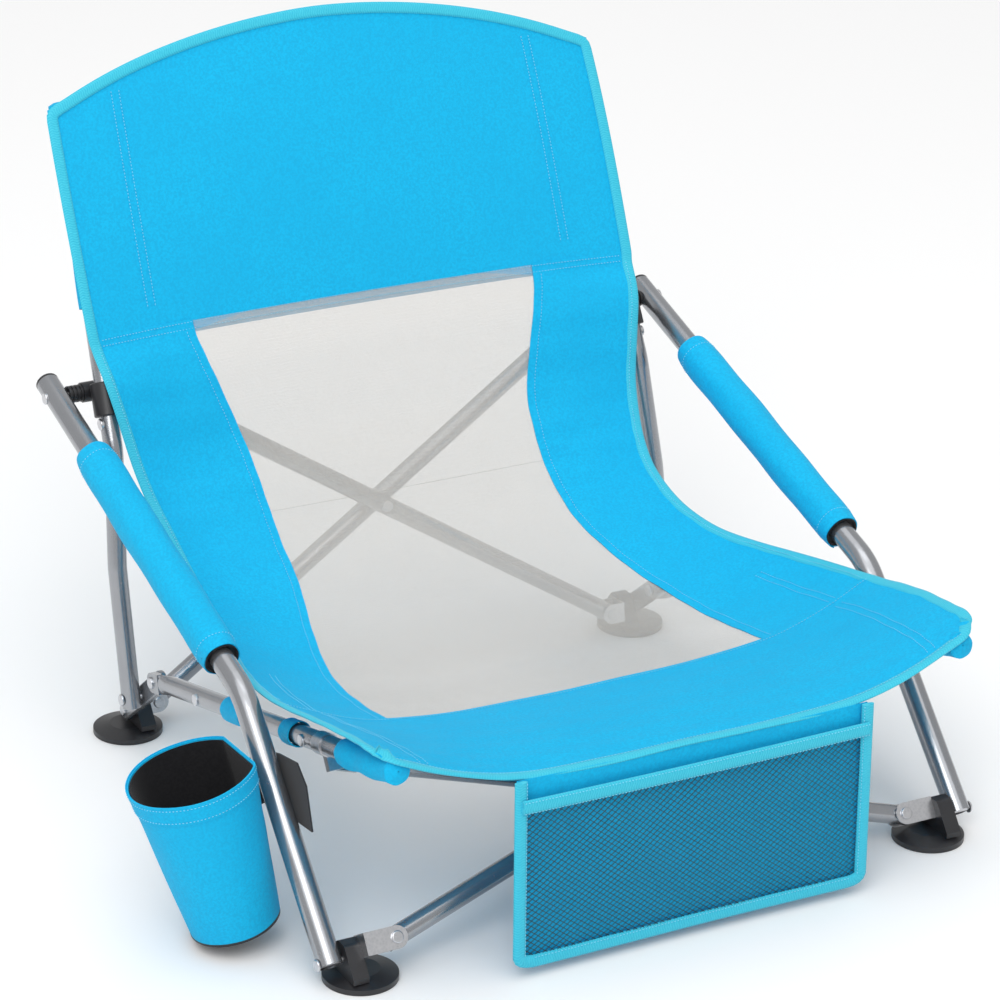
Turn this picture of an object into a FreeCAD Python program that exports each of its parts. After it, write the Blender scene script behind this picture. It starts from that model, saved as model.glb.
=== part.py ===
import FreeCAD, Part
import math
import os
import Sketcher
from FreeCAD import Placement, Rotation, Vector

# Folding camp chair, low sling type, millimetres, +Z up, front towards -Y.
# Every side piece is made once per side by a loop: side -1 is the sitter's right
# hand (-X), side +1 is +X. Heights are above the floor and depths are behind the
# front feet until the last step, which puts the origin under the middle.

SIZES = [
    ("leg_half_width", 318.0, "centre plane of each arm and front leg tube"),
    ("front_foot_half_width", 288.0, "front foot centre from the middle"),
    ("rear_foot_half_width", 276.0, "rear foot centre from the middle"),
    ("foot_depth", 523.0, "rear foot centre behind the front foot centre"),
    ("foot_radius", 33.0, "radius of a foot disc"),
    ("foot_edge_height", 5.0, "height of the foot disc at its rim"),
    ("foot_crown_height", 9.0, "height of the foot disc round its lug"),
    ("foot_crown_radius", 17.0, "radius where the disc meets its crown"),
    ("lug_length", 50.0, "length of the foot lug at its base"),
    ("lug_top_length", 13.0, "length of the foot lug at its top"),
    ("lug_height", 37.0, "top of the foot lug"),
    ("lug_width", 15.0, "width of the foot lug"),
    ("foot_pivot_height", 22.0, "rivet height in the foot lug"),
    ("leg_radius", 11.0, "arm and front leg tube, outside"),
    ("bar_radius", 9.0, "cross tubes, posts and seat rails, outside"),
    ("tube_wall", 1.2, "wall of every tube"),
    ("leg_bend_depth", 167.5, "where arm and leg lines meet, behind the front feet"),
    ("leg_bend_height", 201.0, "where arm and leg lines meet"),
    ("leg_bend_radius", 62.0, "bend between arm and leg"),
    ("arm_pivot_depth", 577.5, "arm bolt behind the front feet"),
    ("arm_pivot_height", 329.0, "arm bolt height"),
    ("arm_overhang", 20.0, "arm tube behind its bolt"),
    ("arm_sleeve_radius", 18.8, "fabric sleeve on the arm, outside"),
    ("arm_sleeve_start", 92.0, "sleeve's rear end from the arm bolt"),
    ("arm_sleeve_length", 292.0, "length of the arm sleeve"),
    ("cloth", 1.2, "thickness of a plain cloth wall"),
    ("fit", 0.08, "running fit on a pin or post"),
    ("gap", 0.5, "side clearance between pieces that swing past each other"),
    ("rivet_radius", 3.0, "shank of every rivet and bolt"),
    ("rivet_head_radius", 5.5, "head of every rivet and bolt"),
    ("rivet_head_height", 2.2, "height of a rivet head"),
    ("post_depth", 552.0, "back post at the height of the arm bolt"),
    ("post_half_width", 279.0, "back post from the middle at the arm bolt"),
    ("post_top_depth", 673.0, "top of the back post"),
    ("post_top_height", 577.0, "top of the back post"),
    ("post_top_half_width", 267.0, "top of the back post from the middle"),
    ("post_bend_height", 286.0, "first bend of the post, under the hub"),
    ("post_knee_height", 178.0, "second bend of the post"),
    ("hub_length", 32.0, "slider hub along the post"),
    ("hub_wall", 4.0, "wall of the slider hub round the post"),
    ("strut_length", 105.0, "rear strut between its end rivets"),
    ("strut_post_distance", 52.0, "post rivet along the strut from the foot"),
    ("strut_angle", 38.3, "rise of the rear strut, degrees"),
    ("strut_width", 20.0, "flattened width of the strut"),
    ("strut_thickness", 7.0, "flattened thickness of the strut"),
    ("rail_half_width", 278.0, "seat rail from the middle"),
    ("rail_length", 498.0, "seat rail from its rear rivet to its tip"),
    ("rail_angle", 14.5, "rise of the seat rail, degrees"),
    ("tongue_thickness", 6.0, "flattened end of a tube"),
    ("tongue_length", 24.0, "flattened length of a tube end"),
    ("cross_half_width_back", 244.0, "back cross tube pivots from the middle"),
    ("cross_half_width_front", 262.0, "front cross tube pivots from the middle"),
    ("cross_pivot_height", 23.0, "lower pivots of the back cross tubes"),
    ("front_cross_pivot_height", 29.5, "lower pivots of the front cross tubes"),
    ("back_cross_top_depth", 560.0, "upper pivots of the back cross tubes"),
    ("back_cross_top_height", 334.0, "upper pivots of the back cross tubes"),
    ("front_cross_top_depth", 85.0, "upper pivots of the front cross tubes"),
    ("front_cross_top_height", 163.0, "upper pivots of the front cross tubes"),
    ("cross_offset", 9.6, "each crossing tube beside their common plane"),
    ("bracket_plate", 1.5, "sheet thickness of a foot bracket"),
    ("sling_thickness", 2.4, "sling cloth with its hems"),
    ("pocket_half_width", 177.0, "front pocket from the middle"),
    ("pocket_height", 176.0, "height of the front pocket"),
    ("pocket_bottom", 9.0, "bottom edge of the front pocket"),
    ("pocket_depth", 15.0, "front pocket, net to backing"),
    ("pocket_front", -72.0, "net face of the front pocket"),
    ("cup_rim_radius", 56.0, "cup holder at its rim"),
    ("cup_base_radius", 40.0, "cup holder at its base"),
    ("cup_height", 148.0, "cup holder from base to rim"),
]

# The sling is two sheets of cloth. Each row across a sheet has five places: both
# edges, both seams of the centre panel, and the middle. The back's rows go down
# from the crown: height, edge half width, edge depth, seam half width, seam depth,
# middle depth.
BACK_ROWS = [
    (646.0, 24.0, 697.0, 12.0, 697.0, 697.0),
    (638.0, 78.0, 693.5, 40.0, 693.5, 693.5),
    (621.0, 150.0, 685.5, 90.0, 685.5, 685.5),
    (600.0, 222.0, 675.0, 140.0, 675.0, 675.0),
    (578.0, 278.0, 662.5, 184.0, 663.0, 664.0),
    (500.0, 286.0, 624.5, 182.0, 627.0, 628.0),
    (432.0, 287.0, 591.0, 181.0, 597.0, 599.0),
    (380.0, 286.0, 562.0, 181.0, 569.0, 572.0),
    (350.0, 282.0, 541.0, 174.0, 553.0, 557.0),
    (315.0, 275.0, 528.5, 163.0, 539.5, 543.0),
    (274.0, 267.0, 515.0, 151.0, 522.0, 524.0),
    (243.0, 261.0, 496.0, 147.0, 498.0, 499.0),
    (222.0, 256.0, 474.0, 146.0, 478.0, 479.0),
]
# The seat's rows come forward from the crease: depth, edge half width, edge
# height, seam half width, seam height, middle height.
SEAT_ROWS = [
    (468.0, 255.0, 214.0, 145.0, 211.0, 210.0),
    (440.0, 253.0, 198.0, 147.0, 193.0, 191.0),
    (400.0, 254.0, 184.0, 153.0, 174.0, 171.0),
    (360.0, 259.0, 178.0, 163.0, 161.0, 156.0),
    (320.0, 267.0, 178.0, 173.0, 151.0, 145.0),
    (260.0, 279.0, 182.0, 184.0, 146.0, 139.0),
    (200.0, 289.0, 188.0, 188.0, 149.0, 142.0),
    (140.0, 296.0, 199.0, 190.0, 161.0, 154.0),
    (80.0, 298.0, 212.0, 188.0, 173.0, 167.0),
    (20.0, 297.0, 222.0, 183.0, 182.0, 177.0),
    (-30.0, 291.0, 228.0, 178.0, 188.0, 184.0),
    (-55.0, 272.0, 226.0, 174.0, 190.0, 187.0),
]

X_AXIS = Vector(1, 0, 0)
Y_AXIS = Vector(0, 1, 0)
Z_AXIS = Vector(0, 0, 1)

doc = FreeCAD.newDocument("folding_camp_chair")
sheet = doc.addObject("Spreadsheet::Sheet", "sizes")
for row, (alias, value, note) in enumerate(SIZES, 1):
    sheet.set(f"A{row}", note)
    sheet.set(f"B{row}", str(value))
    sheet.setAlias(f"B{row}", alias)
doc.recompute()


class Size:
    """A length with both its number and the sheet expression that gives it."""

    def __init__(self, text, value):
        self.text = text
        self.value = value

    def __float__(self):
        return self.value

    def _with(self, sign, other, value):
        text = other.text if isinstance(other, Size) else f"{other}"
        return Size(f"({self.text} {sign} {text})", value)

    def __add__(self, other):
        return self._with("+", other, self.value + float(other))

    def __sub__(self, other):
        return self._with("-", other, self.value - float(other))

    def __mul__(self, other):
        return self._with("*", other, self.value * float(other))

    def __truediv__(self, other):
        return self._with("/", other, self.value / float(other))


class Sheet:
    """Gives sheet.alias as a Size."""

    def __getattr__(self, alias):
        return Size(f"sizes.{alias}", float(sheet.get(alias)))


S = Sheet()
SUBPARTS = []


def number(alias):
    return float(sheet.get(alias))


def place(origin, along, about=None):
    """A placement whose Z runs along a direction, with X near a second one."""
    along = Vector(along).normalize()
    helper = Vector(about) if about else (X_AXIS if abs(along.x) < 0.9 else Y_AXIS)
    across = (helper - along * helper.dot(along)).normalize()
    third = along.cross(across)
    return Placement(origin, Rotation(across, third, along, "ZXY"))


def feature(kind, name, bound, placement=None):
    item = doc.addObject(kind, name)
    for prop, value in bound.items():
        item.setExpression(prop, value.text if isinstance(value, Size) else f"{value} mm")
    if placement:
        item.Placement = placement
    return item


def rod(name, radius, length, origin, along):
    return feature("Part::Cylinder", name, {"Radius": radius, "Height": length}, place(origin, along))


def block(name, length, width, height, centre, along=Z_AXIS, about=None):
    """A box centred on a point: length near X, width across it, height along."""
    frame = place(centre, along, about)
    corner = Vector(-float(length) / 2, -float(width) / 2, -float(height) / 2)
    frame.Base = frame.multVec(corner)
    return feature("Part::Box", name, {"Length": length, "Width": width, "Height": height}, frame)


def fuse(name, *items):
    joined = doc.addObject("Part::MultiFuse", name)
    joined.Shapes = list(items)
    return joined


def cut(name, base, *tools):
    tool = tools[0] if len(tools) == 1 else fuse(f"{name}_holes", *tools)
    result = doc.addObject("Part::Cut", name)
    result.Base = base
    result.Tool = tool
    return result


def shaped(name, shape):
    """A sub-part whose shape no sheet-bound feature fits, such as a bent tube."""
    item = doc.addObject("Part::Feature", name)
    item.Shape = shape
    return item


def keep(item, label):
    item.Label = label
    SUBPARTS.append((item, label))
    return item


def bent_path(points, bend_radius):
    """Straight runs joined by tangent arcs at the inner points."""
    edges = []
    start = points[0]
    for before, corner, after in zip(points, points[1:], points[2:]):
        back = (before - corner).normalize()
        ahead = (after - corner).normalize()
        half = back.getAngle(ahead) / 2
        reach = bend_radius / math.tan(half)
        to_centre = (back + ahead).normalize()
        middle = corner + to_centre * (bend_radius / math.sin(half) - bend_radius)
        enter = corner + back * reach
        leave = corner + ahead * reach
        edges.append(Part.LineSegment(start, enter).toShape())
        edges.append(Part.Arc(enter, middle, leave).toShape())
        start = leave
    edges.append(Part.LineSegment(start, points[-1]).toShape())
    return Part.Wire(edges)


def pipe(points, bend_radius, radius):
    path = bent_path(points, bend_radius)
    ring = Part.Wire(Part.makeCircle(radius, points[0], points[1] - points[0]))
    return path.makePipeShell([ring], True, False)


def bent_tube(points, bend_radius, radius, wall):
    return pipe(points, bend_radius, radius).cut(pipe(points, bend_radius, radius - wall))


def hole(origin, along, radius, length):
    start = origin - Vector(along) * (length / 2)
    return Part.makeCylinder(radius, length, start, along)


# The swell is a hair smaller than the tongue and the tube that it runs into.
SINK = 0.1
SWELL_END = 8.4


def flattened_end(pivot, towards, flat_normal, radius, side_shift=0.0):
    """The pressed end of a tube: a round-nosed tongue about its rivet, and the
    stretch that swells from the tongue to the round tube."""
    thickness = number("tongue_thickness")
    nose = number("strut_width") / 2 - 0.5
    across = flat_normal.cross(towards).normalize()
    centre = pivot + flat_normal * side_shift
    reach = number("tongue_length")
    disc = Part.makeCylinder(nose, thickness, centre - flat_normal * (thickness / 2), flat_normal)
    corners = [
        centre + across * nose,
        centre + across * nose + towards * (reach - 8),
        centre - across * nose + towards * (reach - 8),
        centre - across * nose,
    ]
    outline = Part.Face(Part.makePolygon(corners + corners[:1]))
    outline.translate(flat_normal * (-thickness / 2))
    plate = outline.extrude(flat_normal * thickness)
    oval = Part.Ellipse()
    oval.MajorRadius = nose - SINK
    oval.MinorRadius = thickness / 2 - SINK
    oval_edge = oval.toShape()
    turn = Rotation(across, flat_normal, towards, "ZXY")
    oval_edge.Placement = Placement(centre + towards * (reach - 9), turn)
    ring_edge = Part.makeCircle(radius - SINK)
    ring_edge.Placement = Placement(pivot + towards * (reach + 9), turn)
    swell = Part.makeLoft([Part.Wire(oval_edge), Part.Wire(ring_edge)], True)
    return disc.fuse([plate, swell])


def domed_head(origin, along):
    """A rivet head: a short cylinder with a rounded rim."""
    radius = number("rivet_head_radius")
    height = number("rivet_head_height")
    head = Part.makeCylinder(radius, height, origin, along)
    rims = [e for e in head.Edges if (e.CenterOfMass - (origin + along * height)).Length < 0.01]
    return head.makeFillet(height * 0.55, rims)


def seated_head(crest, along, tube_run, tube_radius):
    """A domed head on a round tube, its underside shaped to the tube."""
    skirt = 2.4
    head = Part.makeCylinder(number("rivet_head_radius"), skirt + 1.4, crest - along * skirt, along)
    rims = [e for e in head.Edges if (e.CenterOfMass - (crest + along * 1.4)).Length < 0.01]
    head = head.makeFillet(1.0, rims)
    tube_start = crest - along * tube_radius - tube_run * 30
    return head.cut(Part.makeCylinder(tube_radius + 0.02, 60, tube_start, tube_run))


def shank(start, end, before=0.0, beyond=0.8):
    """A plain pin between two points, run on into a head that is shaped to a tube."""
    along = (end - start).normalize()
    length = (end - start).Length + before + beyond
    return Part.makeCylinder(number("rivet_radius"), length, start - along * before, along)


def rivet(start, end):
    """One rivet between two flat outer faces, with a head on each."""
    along = (end - start).normalize()
    return shank(start, end, beyond=0).fuse([domed_head(start, along * -1), domed_head(end, along)])


# ---- main points of the side frame (depth, height) ----
front_pivot = Vector(0, -2, number("foot_pivot_height"))
leg_bend = Vector(0, number("leg_bend_depth"), number("leg_bend_height"))
arm_pivot = Vector(0, number("arm_pivot_depth"), number("arm_pivot_height"))
arm_run = (leg_bend - arm_pivot).normalize()
leg_run = (front_pivot - leg_bend).normalize()
strut_rise = math.radians(number("strut_angle"))
strut_run = Vector(0, -math.cos(strut_rise), math.sin(strut_rise))
rear_pivot = Vector(0, number("foot_depth"), number("foot_pivot_height"))
post_pivot = rear_pivot + strut_run * number("strut_post_distance")
rail_pivot = rear_pivot + strut_run * number("strut_length")
rail_rise = math.radians(number("rail_angle"))
rail_run = Vector(0, -math.cos(rail_rise), math.sin(rail_rise))

gap = number("gap")
fit = number("fit")
leg_radius = number("leg_radius")
bar_radius = number("bar_radius")
wall = number("tube_wall")
rivet_radius = number("rivet_radius")
tongue = number("tongue_thickness")

# Faces that meet side by side, from the middle outwards.
leg_inner = number("leg_half_width") - leg_radius
leg_outer = number("leg_half_width") + leg_radius
rear_lug_outer = number("rear_foot_half_width") - 3.5
strut_inner = rear_lug_outer + gap
strut_outer = strut_inner + number("strut_thickness")
post_foot_half_width = strut_outer + gap + bar_radius
rail_tongue_centre = strut_outer + gap + tongue / 2
front_lug_outer = leg_inner - gap

# Common planes of the two pairs of cross tubes: hinge directions and top pivots.
back_low = Vector(0, number("foot_depth"), number("cross_pivot_height"))
back_high = Vector(0, number("back_cross_top_depth"), number("back_cross_top_height"))
front_low = Vector(0, 0, number("front_cross_pivot_height"))
front_high = Vector(0, number("front_cross_top_depth"), number("front_cross_top_height"))


def plane_normal(low, high):
    """Rearward normal of the tilted plane in which a pair of cross tubes swings."""
    return (high - low).normalize().cross(X_AXIS)


back_normal = plane_normal(back_low, back_high)
front_normal = plane_normal(front_low, front_high)


def outward(side, half_width, point):
    return Vector(side * half_width, point.y, point.z)


SIDES = ((-1, "left"), (1, "right"))

# ---- feet: a disc with a raised crown and a lug, each turned and padded ----


def foot(name, side, half_width, depth, lug_outer_face):
    body = doc.addObject("PartDesign::Body", name)
    doc.recompute()
    planes = {p.Role: p for p in body.Origin.OriginFeatures}

    disc_sketch = body.newObject("Sketcher::SketchObject", f"{name}_profile")
    disc_sketch.AttachmentSupport = (planes["XZ_Plane"], [""])
    disc_sketch.MapMode = "FlatFace"
    corners = [
        (Size("0 mm", 0.0), Size("0 mm", 0.0)),
        (S.foot_radius, Size("0 mm", 0.0)),
        (S.foot_radius, S.foot_edge_height),
        (S.foot_crown_radius, S.foot_crown_height),
        (Size("0 mm", 0.0), S.foot_crown_height),
    ]
    draw_outline(disc_sketch, corners)
    turned = body.newObject("PartDesign::Revolution", f"{name}_disc")
    turned.Profile = disc_sketch
    turned.ReferenceAxis = (disc_sketch, ["V_Axis"])
    turned.Angle = 360.0

    lug_sketch = body.newObject("Sketcher::SketchObject", f"{name}_lug_profile")
    lug_sketch.AttachmentSupport = (planes["YZ_Plane"], [""])
    lug_sketch.MapMode = "FlatFace"
    base_height = S.foot_crown_height - 1.0
    corners = [
        (S.lug_length * -0.5, base_height),
        (S.lug_length * 0.5, base_height),
        (S.lug_length * 0.5, base_height + 5.0),
        (S.lug_top_length * 0.5, S.lug_height),
        (S.lug_top_length * -0.5, S.lug_height),
        (S.lug_length * -0.5, base_height + 5.0),
    ]
    draw_outline(lug_sketch, corners)
    lug_sketch.AttachmentOffset = Placement(Vector(0, 0, side * lug_outer_face), Rotation())
    lug = body.newObject("PartDesign::Pad", f"{name}_lug")
    lug.Profile = lug_sketch
    lug.setExpression("Length", S.lug_width.text)
    lug.Reversed = side > 0
    doc.recompute()
    shape_top = [f"Edge{i + 1}" for i, e in enumerate(lug.Shape.Edges)
                 if e.BoundBox.ZMin > number("lug_height") - 0.01 and e.BoundBox.XLength > 1]
    if shape_top:
        soft = body.newObject("PartDesign::Fillet", f"{name}_round")
        soft.Base = (lug, shape_top)
        soft.Radius = 5.0
        doc.recompute()
    drill_sketch = body.newObject("Sketcher::SketchObject", f"{name}_drill_profile")
    drill_sketch.AttachmentSupport = (planes["YZ_Plane"], [""])
    drill_sketch.MapMode = "FlatFace"
    offset_y = front_pivot.y if depth < 1 else 0.0
    drill_centre = Vector(offset_y, number("foot_pivot_height"), 0)
    ring = drill_sketch.addGeometry(Part.Circle(drill_centre, Z_AXIS, rivet_radius + fit))
    drill_sketch.addConstraint(Sketcher.Constraint("Radius", ring, number("rivet_radius") + fit))
    drill_sketch.setExpression("Constraints[0]", (S.rivet_radius + S.fit).text)
    drill_sketch.addConstraint(Sketcher.Constraint("DistanceY", -1, 1, ring, 3, number("foot_pivot_height")))
    drill_sketch.setExpression("Constraints[1]", S.foot_pivot_height.text)
    drill = body.newObject("PartDesign::Pocket", f"{name}_drill")
    drill.Profile = drill_sketch
    drill.Type = "ThroughAll"
    drill.Midplane = True
    doc.recompute()
    body.Placement = Placement(Vector(side * half_width, depth, 0), Rotation())
    return keep(body, name)


def draw_outline(sketch, corners):
    """A closed outline whose corners are held by dimensions bound to the sheet."""
    points = [Vector(float(x), float(y), 0) for x, y in corners]
    lines = [sketch.addGeometry(Part.LineSegment(a, b)) for a, b in zip(points, points[1:] + points[:1])]
    count = len(lines)
    for i in range(count):
        sketch.addConstraint(Sketcher.Constraint("Coincident", lines[i], 2, lines[(i + 1) % count], 1))
    for i, (x, y) in enumerate(corners):
        for kind, value in (("DistanceX", x), ("DistanceY", y)):
            if abs(float(value)) < 1e-9:
                if kind == "DistanceX":
                    sketch.addConstraint(Sketcher.Constraint("PointOnObject", lines[i], 1, -2))
                else:
                    sketch.addConstraint(Sketcher.Constraint("PointOnObject", lines[i], 1, -1))
                continue
            at = sketch.addConstraint(Sketcher.Constraint(kind, -1, 1, lines[i], 1, float(value)))
            sketch.setExpression(f"Constraints[{at}]", value.text)


for side, word in SIDES:
    foot(f"front_{word}_foot", side, number("front_foot_half_width"), 0.0,
         front_lug_outer - number("front_foot_half_width"))
    foot(f"rear_{word}_foot", side, number("rear_foot_half_width"), number("foot_depth"),
         rear_lug_outer - number("rear_foot_half_width"))

# ---- zinc brackets: a web on the lug's inner face and two cheeks round the tube ----


def bracket(name, side, low, normal, offset, half_width, web_outer):
    """The cheeks stand on both sides of one cross tube, square to its rivet."""
    pivot = outward(side, half_width, low) + normal * offset
    up = X_AXIS.cross(normal) * -1
    cheek_reach = web_outer - half_width
    spread = float(S.bar_radius) + gap + float(S.bracket_plate) / 2
    tall = S.bar_radius * 2 + 2.0
    pieces = []
    for turn in (-1, 1):
        centre = pivot + X_AXIS * (side * cheek_reach / 2) + normal * (turn * spread)
        pieces.append(block(f"{name}_cheek{turn + 1}", cheek_reach, S.bracket_plate, tall,
                            centre, up, X_AXIS))
        nose_start = pivot + normal * (turn * spread - float(S.bracket_plate) / 2)
        pieces.append(rod(f"{name}_nose{turn + 1}", S.bar_radius + 1.0, S.bracket_plate, nose_start, normal))
    web_centre = pivot + X_AXIS * (side * (cheek_reach - float(S.bracket_plate) / 2))
    pieces.append(block(f"{name}_web", S.bracket_plate, (S.bar_radius + S.bracket_plate + gap) * 2, tall,
                        web_centre, up, X_AXIS))
    drill_start = pivot - normal * 20
    drill = rod(f"{name}_drill", S.rivet_radius + S.fit, 40, drill_start, normal)
    return keep(cut(f"{name}_cut", fuse(f"{name}_blank", *pieces), drill), name)


front_web = front_lug_outer - number("lug_width")
rear_web = rear_lug_outer - number("lug_width")
cross_offset = number("cross_offset")
# A front tube in front of its mate starts at the left foot, a back one at the right.
FRONT_LOW_OFFSET = {-1: -cross_offset, 1: cross_offset}
BACK_LOW_OFFSET = {-1: cross_offset, 1: -cross_offset}
for side, word in SIDES:
    bracket(f"front_{word}_bracket", side, front_low, front_normal, FRONT_LOW_OFFSET[side],
            number("cross_half_width_front"), front_web)
    bracket(f"rear_{word}_bracket", side, back_low, back_normal, BACK_LOW_OFFSET[side],
            number("cross_half_width_back"), rear_web)

# ---- rivets that stay with each foot: one through the bracket, one through the lug ----
half_pack = bar_radius + gap + number("bracket_plate")
for side, word in SIDES:
    low = outward(side, number("cross_half_width_front"), front_low) + front_normal * FRONT_LOW_OFFSET[side]
    bracket_rivet = rivet(low - front_normal * half_pack, low + front_normal * half_pack)
    lug_start = outward(side, front_lug_outer - number("lug_width") + 0.5, front_pivot)
    leg_face = outward(side, leg_outer, front_pivot)
    leg_rivet = shank(lug_start, leg_face).fuse(domed_head(leg_face, X_AXIS * side))
    keep(shaped(f"front_{word}_foot_rivets_pair", Part.makeCompound([bracket_rivet, leg_rivet])),
         f"front_{word}_foot_rivets")
    low = outward(side, number("cross_half_width_back"), back_low) + back_normal * BACK_LOW_OFFSET[side]
    bracket_rivet = rivet(low - back_normal * half_pack, low + back_normal * half_pack)
    lug_start = outward(side, rear_lug_outer - number("lug_width") + 0.5, rear_pivot)
    strut_face = outward(side, strut_outer, rear_pivot)
    strut_rivet = shank(lug_start, strut_face).fuse(domed_head(strut_face, X_AXIS * side))
    keep(shaped(f"rear_{word}_foot_rivets_pair", Part.makeCompound([bracket_rivet, strut_rivet])),
         f"rear_{word}_foot_rivets")

# ---- arm and front leg: one bent tube a side, with its plug, sleeve and padding ----
arm_top = arm_pivot - arm_run * number("arm_overhang")
leg_bottom = front_pivot + leg_run * 3
for side, word in SIDES:
    x = number("leg_half_width")
    points = [outward(side, x, p) for p in (arm_top, leg_bend, leg_bottom)]
    tube = bent_tube(points, number("leg_bend_radius"), leg_radius, wall)
    drills = [hole(outward(side, x, p), X_AXIS, rivet_radius + fit, 40) for p in (arm_pivot, front_pivot)]
    keep(shaped(f"arm_tube_{word}_shape", tube.cut(drills)), f"{word}_arm_leg_tube")

    rim = points[0]
    plug = fuse(f"plug_{word}",
                rod(f"plug_{word}_stem", S.leg_radius - S.tube_wall - S.fit, 10, rim, arm_run),
                rod(f"plug_{word}_cap", S.leg_radius, 2.5, rim - arm_run * 2.5, arm_run))
    keep(plug, f"{word}_arm_end_plug")

    start = outward(side, x, arm_pivot) + arm_run * number("arm_sleeve_start")
    outer = rod(f"sleeve_{word}_outer", S.arm_sleeve_radius, S.arm_sleeve_length, start, arm_run)
    inner = rod(f"sleeve_{word}_inner", S.arm_sleeve_radius - S.cloth, S.arm_sleeve_length, start, arm_run)
    keep(cut(f"sleeve_{word}_cut", outer, inner), f"{word}_arm_sleeve")
    pad_start = start + arm_run * 4
    pad_outer = rod(f"pad_{word}_outer", S.arm_sleeve_radius - S.cloth - 0.3, S.arm_sleeve_length - 8.0,
                    pad_start, arm_run)
    pad_inner = rod(f"pad_{word}_inner", S.leg_radius + 0.3, S.arm_sleeve_length - 8.0, pad_start, arm_run)
    keep(cut(f"pad_{word}_cut", pad_outer, pad_inner), f"{word}_arm_padding")

# ---- back posts: a straight top on which the hub slides, two bends, a straight foot ----
post_at_hub = Vector(number("post_half_width"), number("post_depth"), number("arm_pivot_height"))
post_top = Vector(number("post_top_half_width"), number("post_top_depth"), number("post_top_height"))
post_run = (post_top - post_at_hub).normalize()
post_bend = post_at_hub - post_run * ((post_at_hub.z - number("post_bend_height")) / post_run.z)
knee_share = (number("post_knee_height") - post_pivot.z) / (post_bend.z - post_pivot.z)
post_knee = Vector(post_foot_half_width,
                   post_pivot.y + (post_bend.y - post_pivot.y) * knee_share,
                   number("post_knee_height"))
post_foot = Vector(post_foot_half_width, post_pivot.y, post_pivot.z)
post_end = post_foot + (post_foot - post_knee).normalize() * 9


def mirrored(side, point):
    return Vector(side * point.x, point.y, point.z)


stop_distance = number("hub_length") / 2 + number("rivet_head_radius") + gap * 2
for side, word in SIDES:
    points = [mirrored(side, p) for p in (post_top, post_bend, post_knee, post_end)]
    tube = bent_tube(points, 70.0, bar_radius, wall)
    stop_at = mirrored(side, post_at_hub - post_run * stop_distance)
    drills = [hole(stop_at, X_AXIS, rivet_radius + fit, 40),
              hole(mirrored(side, post_foot), X_AXIS, rivet_radius + fit, 40)]
    keep(shaped(f"post_{word}_shape", tube.cut(drills)), f"{word}_back_post")
    stop_ends = [stop_at + X_AXIS * (turn * bar_radius) for turn in (-1, 1)]
    stop_heads = [seated_head(end, (end - stop_at).normalize(), mirrored(side, post_run), bar_radius)
                  for end in stop_ends]
    stop = shank(*stop_ends, before=0.8).fuse(stop_heads)
    keep(shaped(f"stop_{word}_shape", stop), f"{word}_post_stop_rivet")

# ---- slider hubs: a ring on the post, a boss for the arm bolt, an ear for a cross tube ----
ring_radius = bar_radius + number("hub_wall")
BACK_TOP_OFFSET = {1: BACK_LOW_OFFSET[-1], -1: BACK_LOW_OFFSET[1]}
FRONT_TOP_OFFSET = {1: FRONT_LOW_OFFSET[-1], -1: FRONT_LOW_OFFSET[1]}
ear_thickness = cross_offset - tongue / 2 - gap + 1.5
spacer_inner = ring_radius + number("post_half_width") + 1.0


# Which way from a tube's tongue its ear lies: both back ears are behind their tongues.
BACK_EAR_SIDE = {1: 1, -1: 1}
FRONT_EAR_SIDE = {side: -1 if offset > 0 else 1 for side, offset in FRONT_TOP_OFFSET.items()}


def ear(side, top_pivot, normal, offset, away, join_to):
    """A plate beside a cross tube's tongue, from its rivet to the piece it is part of."""
    near_face = offset + away * (tongue / 2 + gap)
    start = top_pivot + normal * near_face
    nose = Part.makeCylinder(8.5, ear_thickness, start, normal * away)
    reach = (join_to - top_pivot).dot(X_AXIS * side)
    up = (X_AXIS.cross(normal) * -1).normalize()
    low = start - up * 8.5
    plate = Part.Face(Part.makePolygon([low, low + X_AXIS * side * reach,
                                        low + X_AXIS * side * reach + up * 17, low + up * 17, low]))
    return nose.fuse(plate.extrude(normal * (away * ear_thickness)))


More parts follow.
